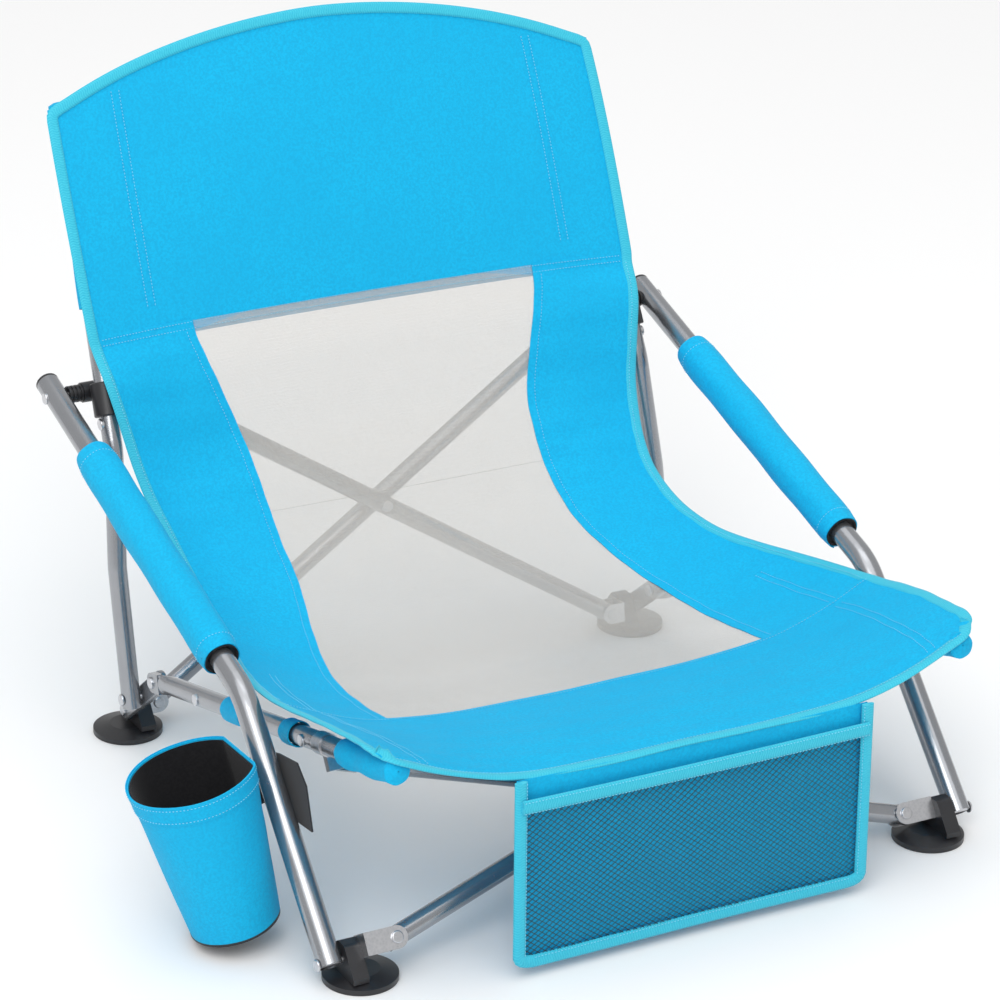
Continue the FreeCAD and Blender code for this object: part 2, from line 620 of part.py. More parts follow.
back_top = {side: outward(side, number("cross_half_width_back"), back_high) for side, _ in SIDES}
front_top = {side: outward(side, number("cross_half_width_front"), front_high) for side, _ in SIDES}
for side, word in SIDES:
    along = mirrored(side, post_run)
    middle = mirrored(side, post_at_hub)
    low_end = middle - along * (number("hub_length") / 2)
    ring = Part.makeCylinder(ring_radius, number("hub_length"), low_end, along)
    rims = [e for e in ring.Edges if e.BoundBox.DiagonalLength > ring_radius and len(e.Vertexes) == 1]
    ring = ring.makeFillet(1.5, rims)
    boss_start = outward(side, number("post_half_width") - 8, arm_pivot)
    boss = Part.makeCylinder(9.5, spacer_inner - number("post_half_width") + 8, boss_start, X_AXIS * side)
    bridge = Part.makeCylinder(6.5, (arm_pivot.y - post_at_hub.y), Vector(middle.x, middle.y, arm_pivot.z),
                               Y_AXIS)
    hub_ear = ear(side, back_top[side], back_normal, BACK_TOP_OFFSET[side], BACK_EAR_SIDE[side], middle)
    body = ring.fuse([boss, bridge, hub_ear])
    bore = Part.makeCylinder(bar_radius + fit, 80, middle - along * 40, along)
    bolt_bore_start = outward(side, number("post_half_width") - 5, arm_pivot)
    bolt_bore = Part.makeCylinder(rivet_radius + fit, 60, bolt_bore_start, X_AXIS * side)
    ear_bore = hole(back_top[side], back_normal, rivet_radius + fit, 60)
    keep(shaped(f"hub_{word}_shape", body.cut([bore, bolt_bore, ear_bore])), f"{word}_slider_hub")

    start_x = spacer_inner + 0.3
    length = leg_inner - 0.3 - start_x
    rib = length / 7
    spacer_parts = []
    for i in range(7):
        radius = 8.2 if i % 2 == 0 else 6.6
        spacer_parts.append(Part.makeCylinder(radius, rib + 0.01, outward(side, start_x + i * rib, arm_pivot),
                                              X_AXIS * side))
    spacer = spacer_parts[0].fuse(spacer_parts[1:])
    spacer_bore = hole(outward(side, start_x, arm_pivot), X_AXIS, rivet_radius + fit, 60)
    keep(shaped(f"spacer_{word}_shape", spacer.cut(spacer_bore)), f"{word}_arm_spacer")
    bolt_start = outward(side, number("post_half_width") - 4, arm_pivot)
    bolt_end = outward(side, leg_outer, arm_pivot)
    bolt = shank(bolt_start, bolt_end).fuse(seated_head(bolt_end, X_AXIS * side, arm_run, leg_radius))
    keep(shaped(f"arm_bolt_{word}_shape", bolt), f"{word}_arm_bolt")

# ---- rear struts and seat rails ----
for side, word in SIDES:
    half = number("strut_width") / 2
    normal = X_AXIS * side
    low = outward(side, strut_inner, rear_pivot)
    high = outward(side, strut_inner, rail_pivot)
    across = normal.cross(strut_run).normalize()
    outline = Part.makePolygon([low + across * half, high + across * half, high - across * half,
                                low - across * half, low + across * half])
    bar = Part.Face(outline).extrude(normal * number("strut_thickness"))
    ends = [Part.makeCylinder(half, number("strut_thickness"), p, normal) for p in (low, high)]
    link = bar.fuse(ends).removeSplitter()
    link = link.makeFillet(2.2, [e for e in link.Edges if abs(e.BoundBox.XLength) < 0.01])
    middle = outward(side, strut_inner, post_pivot)
    drills = [hole(p, X_AXIS, rivet_radius + fit, 60) for p in (low, middle, high)]
    keep(shaped(f"strut_{word}_shape", link.cut(drills)), f"{word}_rear_strut")
    post_face = outward(side, post_foot_half_width + bar_radius, post_pivot)
    post_rivet = rivet(middle, post_face)
    rail_rivet = rivet(high, outward(side, rail_tongue_centre + tongue / 2, rail_pivot))
    keep(shaped(f"strut_rivets_{word}", Part.makeCompound([post_rivet, rail_rivet])), f"{word}_strut_rivets")

    x = number("rail_half_width")
    rail_start = outward(side, x, rail_pivot)
    rail_tip = rail_start + rail_run * number("rail_length")
    shift = side * (rail_tongue_centre - x)
    pressed = flattened_end(rail_start, rail_run, X_AXIS, bar_radius, shift)
    tube_start = rail_start + rail_run * (number("tongue_length") + SWELL_END)
    length = (rail_tip - tube_start).Length
    tube = Part.makeCylinder(bar_radius, length, tube_start, rail_run)
    bore = Part.makeCylinder(bar_radius - wall, length, tube_start + rail_run, rail_run)
    eyelets = [rail_start + rail_run * d for d in (105, 334)]
    drills = [hole(rail_start + X_AXIS * shift, X_AXIS, rivet_radius + fit, 30)]
    drills += [hole(p, X_AXIS, 2.0 + fit, 40) for p in eyelets]
    corner_ear = ear(side, front_top[side], front_normal, FRONT_TOP_OFFSET[side], FRONT_EAR_SIDE[side],
                     rail_start)
    rail_room = Part.makeCylinder(bar_radius + 0.02, 200, rail_tip - rail_run * 150, rail_run)
    corner_ear = corner_ear.cut(rail_room)
    corner_ear = corner_ear.cut(hole(front_top[side], front_normal, rivet_radius + fit, 60))
    keep(shaped(f"rail_{word}_shape", pressed.fuse(tube).cut(bore).cut(drills)), f"{word}_seat_rail")
    saddle_at = rail_start + rail_run * ((front_top[side] - rail_start).dot(rail_run))
    saddle = Part.makeCylinder(bar_radius + 1.2, 16, saddle_at - rail_run * 8, rail_run)
    saddle = saddle.cut(Part.makeCylinder(bar_radius + 0.02, 40, saddle_at - rail_run * 20, rail_run))
    keep(shaped(f"corner_{word}_shape", saddle.fuse(corner_ear)), f"{word}_corner_bracket")
    screws = []
    for eyelet in eyelets:
        crest = eyelet + normal * bar_radius
        stem = Part.makeCylinder(2.0, 2 * bar_radius, crest + normal * 0.8, normal * -1)
        screws.append(stem.fuse(seated_head(crest, normal, rail_run, bar_radius)))
    keep(shaped(f"rail_screws_{word}", Part.makeCompound(screws)), f"{word}_rail_screws")
    cap_stem = rod(f"rail_cap_{word}_stem", S.bar_radius - S.tube_wall - S.fit, 10,
                   rail_tip - rail_run * 10, rail_run)
    cap_top = rod(f"rail_cap_{word}_top", S.bar_radius, 3, rail_tip, rail_run)
    keep(fuse(f"rail_cap_{word}", cap_stem, cap_top), f"{word}_rail_cap")

# ---- cross tubes: a round lower end in its foot bracket, a flattened upper end ----


def cross_tube(name, low_pivot, high_pivot, normal, crossing):
    along = (high_pivot - low_pivot).normalize()
    length = (high_pivot - low_pivot).Length
    swell_from = length - number("tongue_length") - SWELL_END
    tube = Part.makeCylinder(bar_radius, swell_from + 6.5, low_pivot - along * 6.5, along)
    bore = Part.makeCylinder(bar_radius - wall, swell_from + 4.5, low_pivot - along * 6.5, along)
    pressed = flattened_end(high_pivot, along * -1, normal, bar_radius)
    drills = [hole(p, normal, rivet_radius + fit, 40) for p in (low_pivot, high_pivot)]
    drills.append(hole(crossing, normal, rivet_radius + fit, 40))
    return keep(shaped(f"{name}_shape", tube.cut(bore).fuse(pressed).cut(drills)), name)


def cross_pair(prefix, low, high, half_width, normal, low_offset, ear_side, front_rides):
    """Two tubes side by side in their common plane, with rivets at top and crossing."""
    lows = {side: outward(side, half_width, low) + normal * low_offset[side] for side, _ in SIDES}
    highs = {side: outward(side, half_width, high) + normal * low_offset[-side] for side, _ in SIDES}
    middle = (low + high) * 0.5
    for side, word in SIDES:
        offset = low_offset[side]
        crossing = middle + normal * offset
        cross_tube(f"{prefix}_cross_tube_{word}", lows[side], highs[-side], normal, crossing)
        towards = ear_side[-side]
        start = highs[-side] - normal * (towards * tongue / 2)
        stem = Part.makeCylinder(rivet_radius, tongue, start, normal * towards)
        head = domed_head(start, normal * -towards)
        keep(shaped(f"{prefix}_top_rivet_{word}_shape", stem.fuse(head)), f"{prefix}_top_rivet_{word}")
    if front_rides:
        far = normal * (cross_offset + bar_radius)
        keep(shaped(f"{prefix}_crossing_rivet_shape", rivet(middle - far, middle + far)),
             f"{prefix}_crossing_rivet")
        return
    for side, word in SIDES:
        offset = low_offset[side]
        towards = 1 if offset > 0 else -1
        start = middle + normal * (offset - towards * (bar_radius - 0.4))
        end = middle + normal * (offset + towards * bar_radius)
        head = seated_head(end, normal * towards, (highs[-side] - lows[side]).normalize(), bar_radius)
        keep(shaped(f"{prefix}_half_rivet_{word}", shank(start, end).fuse(head)),
             f"{prefix}_crossing_rivet_{word}")


cross_pair("front", front_low, front_high, number("cross_half_width_front"), front_normal,
           FRONT_LOW_OFFSET, FRONT_EAR_SIDE, True)
cross_pair("back", back_low, back_high, number("cross_half_width_back"), back_normal,
           BACK_LOW_OFFSET, BACK_EAR_SIDE, False)

# ---- sling: back and seat sheets, lofted between rows of five places ----
sling = number("sling_thickness")


def strip(points, through):
    """A closed ring across a sheet: five places on its face, five behind it."""
    behind = [p + through for p in reversed(points)]
    ring = points + behind
    return Part.makePolygon(ring + ring[:1])


def mirrored_row(edge, seam, middle):
    """Five places from -X to +X, each given as a point with a positive X."""
    flip = [Vector(-p.x, p.y, p.z) for p in (edge, seam)]
    return flip + [middle, seam, edge]


back_rings = []
for height, edge_x, edge_y, seam_x, seam_y, middle_y in BACK_ROWS:
    row = mirrored_row(Vector(edge_x, edge_y - sling, height), Vector(seam_x, seam_y - sling, height),
                       Vector(0, middle_y - sling, height))
    back_rings.append(strip(row, Vector(0, sling, 0)))
keep(shaped("sling_back_shape", Part.makeLoft(back_rings, True, True)), "sling_back")

seat_rings = []
for depth, edge_x, edge_z, seam_x, seam_z, middle_z in SEAT_ROWS:
    row = mirrored_row(Vector(edge_x, depth, edge_z), Vector(seam_x, depth, seam_z),
                       Vector(0, depth, middle_z))
    seat_rings.append(strip(row, Vector(0, 0, -sling)))
keep(shaped("sling_seat_shape", Part.makeLoft(seat_rings, True, True)), "sling_seat")

# ---- front pocket: an open-topped pouch hung under the seat's front edge ----
pocket_middle = Vector(0, number("pocket_front") + number("pocket_depth") / 2,
                       number("pocket_bottom") + number("pocket_height") / 2)
pocket_outer = block("pocket_outer", S.pocket_half_width * 2, S.pocket_depth, S.pocket_height, pocket_middle,
                     Z_AXIS, X_AXIS)
pocket_inner = block("pocket_inner", (S.pocket_half_width - S.cloth) * 2, S.pocket_depth - S.cloth * 2,
                     S.pocket_height, pocket_middle + Vector(0, 0, number("cloth")), Z_AXIS, X_AXIS)
keep(cut("pocket_cut", pocket_outer, pocket_inner), "front_pocket")

# ---- cup holder: a tapered cloth cup beside the left leg, leaning outwards ----
cup_low = Vector(-(leg_outer + 28.0), 104, 22)
cup_run = Vector(-36, 8, 146).normalize()
cup_frame = place(cup_low, cup_run)
cup_outer = feature("Part::Cone", "cup_outer", {"Radius1": S.cup_base_radius, "Radius2": S.cup_rim_radius,
                                                "Height": S.cup_height}, cup_frame)
cup_inner = feature("Part::Cone", "cup_inner", {"Radius1": S.cup_base_radius - S.cloth,
                                                "Radius2": S.cup_rim_radius - S.cloth,
                                                "Height": S.cup_height}, cup_frame)
keep(cut("cup_cut", cup_outer, cup_inner), "cup_holder")
keep(rod("cup_base", S.cup_base_radius, S.cloth * 2,
         cup_low - cup_run * (number("cloth") * 2 + 0.02), cup_run), "cup_holder_base")
flap_x = -(leg_inner - 3.5)
flap_outline = [(62, 112), (150, 102), (150, 150), (128, 157), (92, 164), (74, 150)]
flap_points = [Vector(flap_x, y, z) for y, z in flap_outline]
flap_face = Part.Face(Part.makePolygon(flap_points + flap_points[:1]))
wing_points = [Vector(flap_x + 1, 148.4, 102), Vector(flap_x + 1, 148.4, 150), Vector(flap_x - 27, 141, 150),
               Vector(flap_x - 27, 141, 102)]
wing_face = Part.Face(Part.makePolygon(wing_points + wing_points[:1]))
flap = flap_face.extrude(Vector(1.6, 0, 0)).fuse(wing_face.extrude(Vector(0, 1.6, 0)))
keep(shaped("cup_flap_shape", flap), "cup_holder_flap")

# ---- checks, then the origin under the middle of the whole chair ----
doc.recompute()
for item in doc.Objects:
    if any(word in ("Invalid", "Error") for word in item.State):
        raise RuntimeError(f"{item.Name} failed: {item.State}")
whole = FreeCAD.BoundBox()
for item, label in SUBPARTS:
    if item.Shape.isNull() or not item.Shape.isValid():
        raise RuntimeError(f"{label} has no valid shape")
    whole.add(item.Shape.BoundBox)
shift = Vector(-whole.Center.x, -whole.Center.y, -whole.ZMin)

os.makedirs("parts", exist_ok=True)
for item, label in SUBPARTS:
    item.Placement = Placement(shift, Rotation()).multiply(item.Placement)
doc.recompute()
for item, label in SUBPARTS:
    item.Shape.exportStep(f"parts/{label}.step")
print(f"{len(SUBPARTS)} sub-parts, size {whole.XLength:.1f} x {whole.YLength:.1f} x {whole.ZLength:.1f}")
print(f"origin moved by {shift.x:.3f}, {shift.y:.3f}, {shift.z:.3f}")
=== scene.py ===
import bpy
import math
from mathutils import Matrix, Vector


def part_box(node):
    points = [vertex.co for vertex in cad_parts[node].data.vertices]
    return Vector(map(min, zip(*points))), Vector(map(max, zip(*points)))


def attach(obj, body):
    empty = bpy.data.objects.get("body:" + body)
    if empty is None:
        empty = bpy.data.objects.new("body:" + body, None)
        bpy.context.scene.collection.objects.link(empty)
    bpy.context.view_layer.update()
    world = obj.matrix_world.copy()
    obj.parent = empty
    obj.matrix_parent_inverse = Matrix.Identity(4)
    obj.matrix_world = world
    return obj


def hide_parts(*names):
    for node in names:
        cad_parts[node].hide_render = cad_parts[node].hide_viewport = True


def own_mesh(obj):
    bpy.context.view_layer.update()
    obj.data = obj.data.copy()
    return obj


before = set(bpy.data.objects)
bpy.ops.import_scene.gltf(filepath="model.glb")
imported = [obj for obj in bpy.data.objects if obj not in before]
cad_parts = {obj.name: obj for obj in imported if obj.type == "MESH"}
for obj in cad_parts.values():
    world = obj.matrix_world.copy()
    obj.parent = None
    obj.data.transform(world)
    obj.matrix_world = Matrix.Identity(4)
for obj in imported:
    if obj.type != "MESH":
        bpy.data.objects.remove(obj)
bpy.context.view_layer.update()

# ---- Where the chair stands ----
# The middle plane lies between the two front feet, and depths are counted back from
# their centres. Sizes are millimetres in the code and metres in the meshes.
left_foot_low, left_foot_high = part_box("front_left_foot")
right_foot_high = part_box("front_right_foot")[1]
MIDDLE_X = (left_foot_low[0] + right_foot_high[0]) / 2
FRONT_Y = (left_foot_low[1] + left_foot_high[1]) / 2


def at(x, y, z):
    return Vector((MIDDLE_X + x / 1000, FRONT_Y + y / 1000, z / 1000))


SIDES = ((-1, "left"), (1, "right"))


# ---- Powder-coated steel tubes ----
# Front legs, posts, rails, struts and cross tubes are thin steel tube with a silver
# powder coat: smooth and glossy, with a faint orange-peel ripple and small scuffs.
class Value:
    """A shader socket that can be written into sums and products."""

    def __init__(self, surface, socket):
        self.surface = surface
        self.socket = socket

    def maths(self, operation, first, second=None):
        node = self.surface.node("ShaderNodeMath", {"operation": operation}, {0: first, 1: second})
        return Value(self.surface, node.outputs[0])

    def __add__(self, other):
        return self.maths("ADD", self, other)

    def __radd__(self, other):
        return self.maths("ADD", other, self)

    def __sub__(self, other):
        return self.maths("SUBTRACT", self, other)

    def __rsub__(self, other):
        return self.maths("SUBTRACT", other, self)

    def __mul__(self, other):
        return self.maths("MULTIPLY", self, other)

    def __rmul__(self, other):
        return self.maths("MULTIPLY", other, self)

    def sine(self):
        return self.maths("SINE", self)

    def size(self):
        return self.maths("ABSOLUTE", self)

    def lower(self, other):
        return self.maths("MINIMUM", self, other)

    def within(self, low, high):
        """0 below low, 1 above high and smooth between."""
        node = self.surface.node("ShaderNodeMapRange", {"interpolation_type": "SMOOTHSTEP"},
                                 {"Value": self, "From Min": low, "From Max": high})
        return Value(self.surface, node.outputs[0])


class Surface:
    """A material made round one Principled shader."""

    def __init__(self, name, colour, **sockets):
        self.material = bpy.data.materials.new(name)
        self.material.use_nodes = True
        self.tree = self.material.node_tree
        self.shader = self.tree.nodes["Principled BSDF"]
        self.shader.inputs["Base Color"].default_value = (*colour, 1)
        self.material.diffuse_color = (*colour, 1)
        for socket, value in sockets.items():
            self.shader.inputs[socket.replace("_", " ")].default_value = value

    def node(self, kind, settings=None, values=None):
        node = self.tree.nodes.new(kind)
        for setting, value in (settings or {}).items():
            setattr(node, setting, value)
        for socket, value in (values or {}).items():
            if value is None:
                continue
            if isinstance(value, Value):
                value = value.socket
            if isinstance(value, bpy.types.NodeSocket):
                self.tree.links.new(value, node.inputs[socket])
            else:
                node.inputs[socket].default_value = value
        return node

    def place(self):
        return self.node("ShaderNodeTexCoord").outputs["Object"]

    def cloth_place(self):
        """Distances in metres along and across the cut cloth."""
        parts = self.node("ShaderNodeSeparateXYZ", {}, {0: self.node("ShaderNodeUVMap").outputs[0]})
        return Value(self, parts.outputs[0]), Value(self, parts.outputs[1])

    def noise(self, where, scale, detail=2.0, rough=0.5):
        node = self.node("ShaderNodeTexNoise", {}, {"Vector": where, "Scale": scale, "Detail": detail,
                                                    "Roughness": rough})
        return Value(self, node.outputs[0])

    def blend(self, share, first, second):
        node = self.node("ShaderNodeMix", {"data_type": "RGBA"}, {0: share})
        for socket, colour in ((6, first), (7, second)):
            if isinstance(colour, Value):
                self.tree.links.new(colour.socket, node.inputs[socket])
            else:
                node.inputs[socket].default_value = (*colour, 1)
        return Value(self, node.outputs[2])

    def feed(self, socket, value):
        self.tree.links.new(value.socket, self.shader.inputs[socket])

    def bump(self, height, strength, distance):
        node = self.node("ShaderNodeBump", {}, {"Height": height, "Strength": strength, "Distance": distance})
        self.tree.links.new(node.outputs[0], self.shader.inputs["Normal"])


powder = Surface("silver_powder_coat", (0.34, 0.35, 0.37), Metallic=0.85, Roughness=0.25, Coat_Weight=0.3,
                 Coat_Roughness=0.1)
peel = powder.noise(powder.place(), 900.0, 2.0)
cloud = powder.noise(powder.place(), 26.0, 3.0)
scuff = powder.noise(powder.place(), 160.0, 5.0, 0.7).within(0.66, 0.74)
powder.feed("Base Color", powder.blend(scuff * 0.35, powder.blend(cloud, (0.30, 0.31, 0.33), (0.38, 0.39, 0.41)),
                                       (0.22, 0.22, 0.24)))
powder.feed("Roughness", 0.2 + cloud * 0.08 + scuff * 0.15)
powder.bump(peel, 0.12, 0.0004)


def coat(surface, *nodes):
    """Gives CAD nodes a material."""
    for name in nodes:
        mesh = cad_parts[name].data
        mesh.materials.clear()
        mesh.materials.append(surface.material)


for side, word in SIDES:
    coat(powder, f"{word}_arm_leg_tube", f"{word}_back_post", f"{word}_rear_strut", f"{word}_seat_rail",
         f"front_cross_tube_{word}", f"back_cross_tube_{word}")

# ---- Feet, hubs, spacers and plugs ----
# Black nylon mouldings: round feet with an upright lug, slider hubs on the posts,
# ribbed spacers on the arm bolts and plugs in the open tube ends. Slightly glossy,
# with a fine moulded grain and dust low on the feet.
nylon = Surface("black_moulded_nylon", (0.012, 0.012, 0.014), Roughness=0.36, Coat_Weight=0.15,
                Coat_Roughness=0.3)
grain = nylon.noise(nylon.place(), 1500.0, 3.0, 0.6)
patch = nylon.noise(nylon.place(), 45.0, 3.0)
nylon.feed("Base Color", nylon.blend(patch, (0.008, 0.008, 0.010), (0.020, 0.020, 0.023)))
nylon.feed("Roughness", 0.27 + patch * 0.16 + grain * 0.08)
nylon.bump(grain, 0.25, 0.0003)
for side, word in SIDES:
    coat(nylon, f"front_{word}_foot", f"rear_{word}_foot", f"{word}_slider_hub", f"{word}_arm_spacer",
         f"{word}_arm_end_plug", f"{word}_rail_cap")

# ---- Zinc brackets and rivets ----
# Pressed zinc-plated brackets in the feet, corner brackets on the rails, and the
# rivets and bolts. Bright grey metal with the mottled flower of zinc plating.
zinc = Surface("zinc_plate", (0.60, 0.61, 0.63), Metallic=1.0, Roughness=0.3)
flower = Value(zinc, zinc.node("ShaderNodeTexVoronoi", {}, {"Vector": zinc.place(), "Scale": 420.0}).outputs[0])
haze = zinc.noise(zinc.place(), 90.0, 4.0, 0.6)
zinc.feed("Base Color", zinc.blend(flower, (0.55, 0.56, 0.58), (0.66, 0.66, 0.68)))
zinc.feed("Roughness", 0.2 + haze * 0.22)
zinc.bump(haze, 0.15, 0.0004)
for side, word in SIDES:
    coat(zinc, f"front_{word}_bracket", f"rear_{word}_bracket", f"{word}_corner_bracket",
         f"front_{word}_foot_rivets", f"rear_{word}_foot_rivets", f"{word}_arm_bolt", f"{word}_post_stop_rivet",
         f"{word}_strut_rivets", f"{word}_rail_screws", f"front_top_rivet_{word}", f"back_top_rivet_{word}",
         f"back_crossing_rivet_{word}")
coat(zinc, "front_crossing_rivet")

# ---- Sling panels of sky-blue cloth ----
# The sling is one long hammock of panels sewn edge to edge: a blue header with a
# curved top, a blue strip down each side and a blue front, all of plain woven
# polyester with a soft sheen. It bellies down between the two seat rails.
# Each row: edge half width, depth, height; seam half width, depth, height; middle
# depth, height. Rows go down the back and then forward over the seat.
SLING_ROWS = [
    (286.5, 608.0, 466.0, 182.0, 612.0, 466.0, 613.0, 466.0),
    (287.0, 591.0, 432.0, 181.0, 597.0, 432.0, 599.0, 432.0),
    (286.0, 565.0, 380.0, 181.0, 571.0, 380.0, 574.0, 380.0),
    (282.0, 542.0, 350.0, 174.0, 554.0, 350.0, 558.0, 350.0),
    (275.0, 529.0, 315.0, 163.0, 540.0, 315.0, 543.5, 315.0),
    (267.0, 516.0, 274.0, 151.0, 522.0, 274.0, 524.0, 274.0),
    (261.0, 497.0, 243.0, 147.0, 499.0, 243.0, 500.0, 243.0),
    (256.0, 476.0, 222.0, 146.0, 478.0, 220.0, 479.0, 219.0),
    (253.5, 452.0, 204.0, 147.0, 453.0, 199.0, 453.0, 197.0),
    (254.0, 420.0, 190.0, 149.0, 420.0, 182.0, 420.0, 179.0),
    (257.0, 385.0, 181.0, 156.0, 385.0, 168.0, 385.0, 164.0),
    (264.0, 340.0, 177.0, 168.0, 340.0, 155.0, 340.0, 149.0),
    (276.0, 290.0, 180.0, 180.0, 290.0, 147.0, 290.0, 141.0),
    (288.0, 240.0, 186.0, 187.0, 240.0, 146.0, 240.0, 139.0),
    (297.0, 190.0, 193.0, 190.0, 190.0, 151.0, 190.0, 143.0),
    (302.0, 140.0, 201.0, 191.0, 140.0, 160.0, 140.0, 151.0),
    (303.0, 90.0, 212.0, 189.0, 90.0, 171.0, 90.0, 162.0),
    (302.0, 40.0, 222.0, 184.0, 40.0, 181.0, 40.0, 173.0),
    (299.0, 0.0, 228.0, 180.0, 0.0, 187.0, 0.0, 180.0),
    (298.0, -28.0, 230.0, 177.0, -32.0, 189.0, -34.0, 184.0),
    (294.0, -48.0, 227.0, 174.0, -56.0, 188.0, -59.0, 185.0),
]
HEADER_ROW = 2.0
CREASE_ROW = 7.0
FRONT_PANEL_ROW = 15.0
LAST_ROW = 20.0


def through(values, place):
    """A smooth curve through evenly numbered values."""
    count = len(values)
    start = max(0, min(count - 2, int(math.floor(place))))
    t = place - start
    a = values[max(0, start - 1)]
    b = values[start]
    c = values[start + 1]
    d = values[min(count - 1, start + 2)]
    return b + (c - a) * (t / 2) + (a * 2 - b * 5 + c * 4 - d) * (t * t / 2) + (b * 3 - a - c * 3 + d) * (t ** 3 / 2)


SLING_COLUMNS = [
    [Vector((-r[0], r[1], r[2])) for r in SLING_ROWS],
    [Vector((-r[3], r[4], r[5])) for r in SLING_ROWS],
    [Vector((0.0, r[6], r[7])) for r in SLING_ROWS],
    [Vector((r[3], r[4], r[5])) for r in SLING_ROWS],
    [Vector((r[0], r[1], r[2])) for r in SLING_ROWS],
]


def sling(across, row):
    """A place on the sling: across runs from -2 at one edge to 2 at the other, with
    the seams at -1 and 1."""
    columns = [through(column, row) for column in SLING_COLUMNS]
    return through(columns, across + 2)


def crown(x):
    """Height of the header's curved top."""
    share = min(1.0, abs(x) / 279)
    return 636.0 - 47.0 * share ** 1.8 - 10.0 * share ** 4


HEADER_SEAM = 374.0


def header_place(across, rise):
    """A place on the header: rise runs from 0 at its seam to 1 at its curved top."""
    edge = 287.0 + 1.5 * math.sin(rise * 2.2) - 2.5 * rise ** 3
    x = across / 2 * edge
    z = HEADER_SEAM + (crown(x) - HEADER_SEAM) * rise
    middle = 573.6 + (z - HEADER_SEAM) * 0.405 + 5.2 * rise ** 3
    pull = 12.5 * (abs(across) / 2) ** 2.4 * max(0.0, 1 - (z - HEADER_SEAM) / 240)
    return Vector((x, middle - pull, z))


def face_out(points):
    """The cloth's front direction at each place of a grid."""
    last_row = len(points) - 1
    last = len(points[0]) - 1
    grid = []
    for i, row in enumerate(points):
        along = [points[min(last_row, i + 1)][j] - points[max(0, i - 1)][j] for j in range(last + 1)]
        over = [row[min(last, j + 1)] - row[max(0, j - 1)] for j in range(last + 1)]
        grid.append([a.cross(b).normalized() for a, b in zip(along, over)])
    return grid


def cloth(name, points, surface, thickness, lift=0.0):
    """A sheet of cloth through a grid of places, with its cut sizes as its UV map.
    It is lifted off the sling's face, then given its thickness."""
    normals = face_out(points)
    rows, width = len(points), len(points[0])
    corners = [at(*(p + n * lift)) for pr, nr in zip(points, normals) for p, n in zip(pr, nr)]
    faces = [(i * width + j, i * width + j + 1, (i + 1) * width + j + 1, (i + 1) * width + j)
             for i in range(rows - 1) for j in range(width - 1)]
    mesh = bpy.data.meshes.new(name)
    mesh.from_pydata(corners, [], faces)
    middle = width // 2
    along = [0.0]
    for i in range(1, rows):
        along.append(along[-1] + (points[i][middle] - points[i - 1][middle]).length / 1000)
    over = []
    for row in points:
        line = [0.0]
        for j in range(1, width):
            line.append(line[-1] + (row[j] - row[j - 1]).length / 1000)
        over.append([value - line[middle] for value in line])
    uv = mesh.uv_layers.new(name="UVMap")
    for loop in mesh.loops:
        i, j = divmod(loop.vertex_index, width)
        uv.data[loop.index].uv = (over[i][j], along[i])
    piece = bpy.data.objects.new(name, mesh)
    bpy.context.collection.objects.link(piece)
    mesh.materials.append(surface.material)
    mesh.polygons.foreach_set("use_smooth", [True] * len(mesh.polygons))
    solid = piece.modifiers.new("thickness", "SOLIDIFY")
    solid.thickness = thickness / 1000
    solid.offset = 0
    bpy.ops.object.select_all(action="DESELECT")
    bpy.context.view_layer.objects.active = piece
    piece.select_set(True)
    bpy.ops.object.modifier_apply(modifier="thickness")
    bpy.ops.object.shade_smooth_by_angle(angle=math.radians(55))
    return piece


def woven(name, colour, shade, pitch, depth, sheen):
    """Plain weave: warp and weft threads cross over and under each other."""
    surface = Surface(name, colour, Roughness=0.72, Sheen_Weight=sheen, Sheen_Roughness=0.45,
                      Specular_IOR_Level=0.25)
    over, along = surface.cloth_place()
    turn = 2 * math.pi / pitch
    weave = (over * turn).sine() * (along * turn).sine()
    slub = surface.noise(surface.place(), 420.0, 3.0, 0.65)
    fade = surface.noise(surface.place(), 12.0, 2.0)
    mixed = surface.blend(slub.within(0.35, 0.65), shade, colour)
    surface.feed("Base Color", surface.blend(fade.within(0.3, 0.75) * 0.3, mixed, shade))
    surface.feed("Roughness", 0.62 + slub * 0.2)
    surface.bump(weave * 0.5 + slub * 0.5, 0.45, depth)
    return surface


sky = woven("sky_blue_polyester", (0.002, 0.48, 0.80), (0.001, 0.39, 0.70), 0.0011, 0.0005, 0.02)
CLOTH = 1.0


def grid(place, low, high, rows, columns, start=-2.0, end=2.0):
    """Places on a panel, from row low to row high and across from start to end."""
    return [[place(start + (end - start) * j / columns, low + (high - low) * i / rows)
             for j in range(columns + 1)] for i in range(rows + 1)]


def pucker(point, across, row):
    """Small soft waves that the sewing leaves beside the seams."""
    wave = math.sin(row * 5.3 + across * 1.7) * math.sin(row * 2.1 - across * 3.9)
    return point + Vector((0, -0.35, 0.8)) * (wave * 0.9)


def folds_with(piece, body):
    """Attaches the cloth to the body it moves with and gives it its own mesh."""
    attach(piece, body)
    tuple(at(-281, 0, 0))
    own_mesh(piece)


def flat_size(points):
    middle = len(points[0]) // 2
    length = sum((points[i + 1][middle] - points[i][middle]).length for i in range(len(points) - 1))
    widths = [sum((row[j + 1] - row[j]).length for j in range(len(row) - 1)) for row in points]
    area = 0.0
    for i in range(len(points) - 1):
        for j in range(len(points[0]) - 1):
            a, b, c, d = points[i][j], points[i][j + 1], points[i + 1][j + 1], points[i + 1][j]
            area += ((b - a).cross(d - a).length + (b - c).cross(d - c).length) / 2
    width = max(widths)
    longest = max(length, area / width)
    return (width / 1000, longest / 1000), min(area / 1e6, 0.999 * width * longest / 1e6)


def cut_from(points):
    flat, area = flat_size(points)


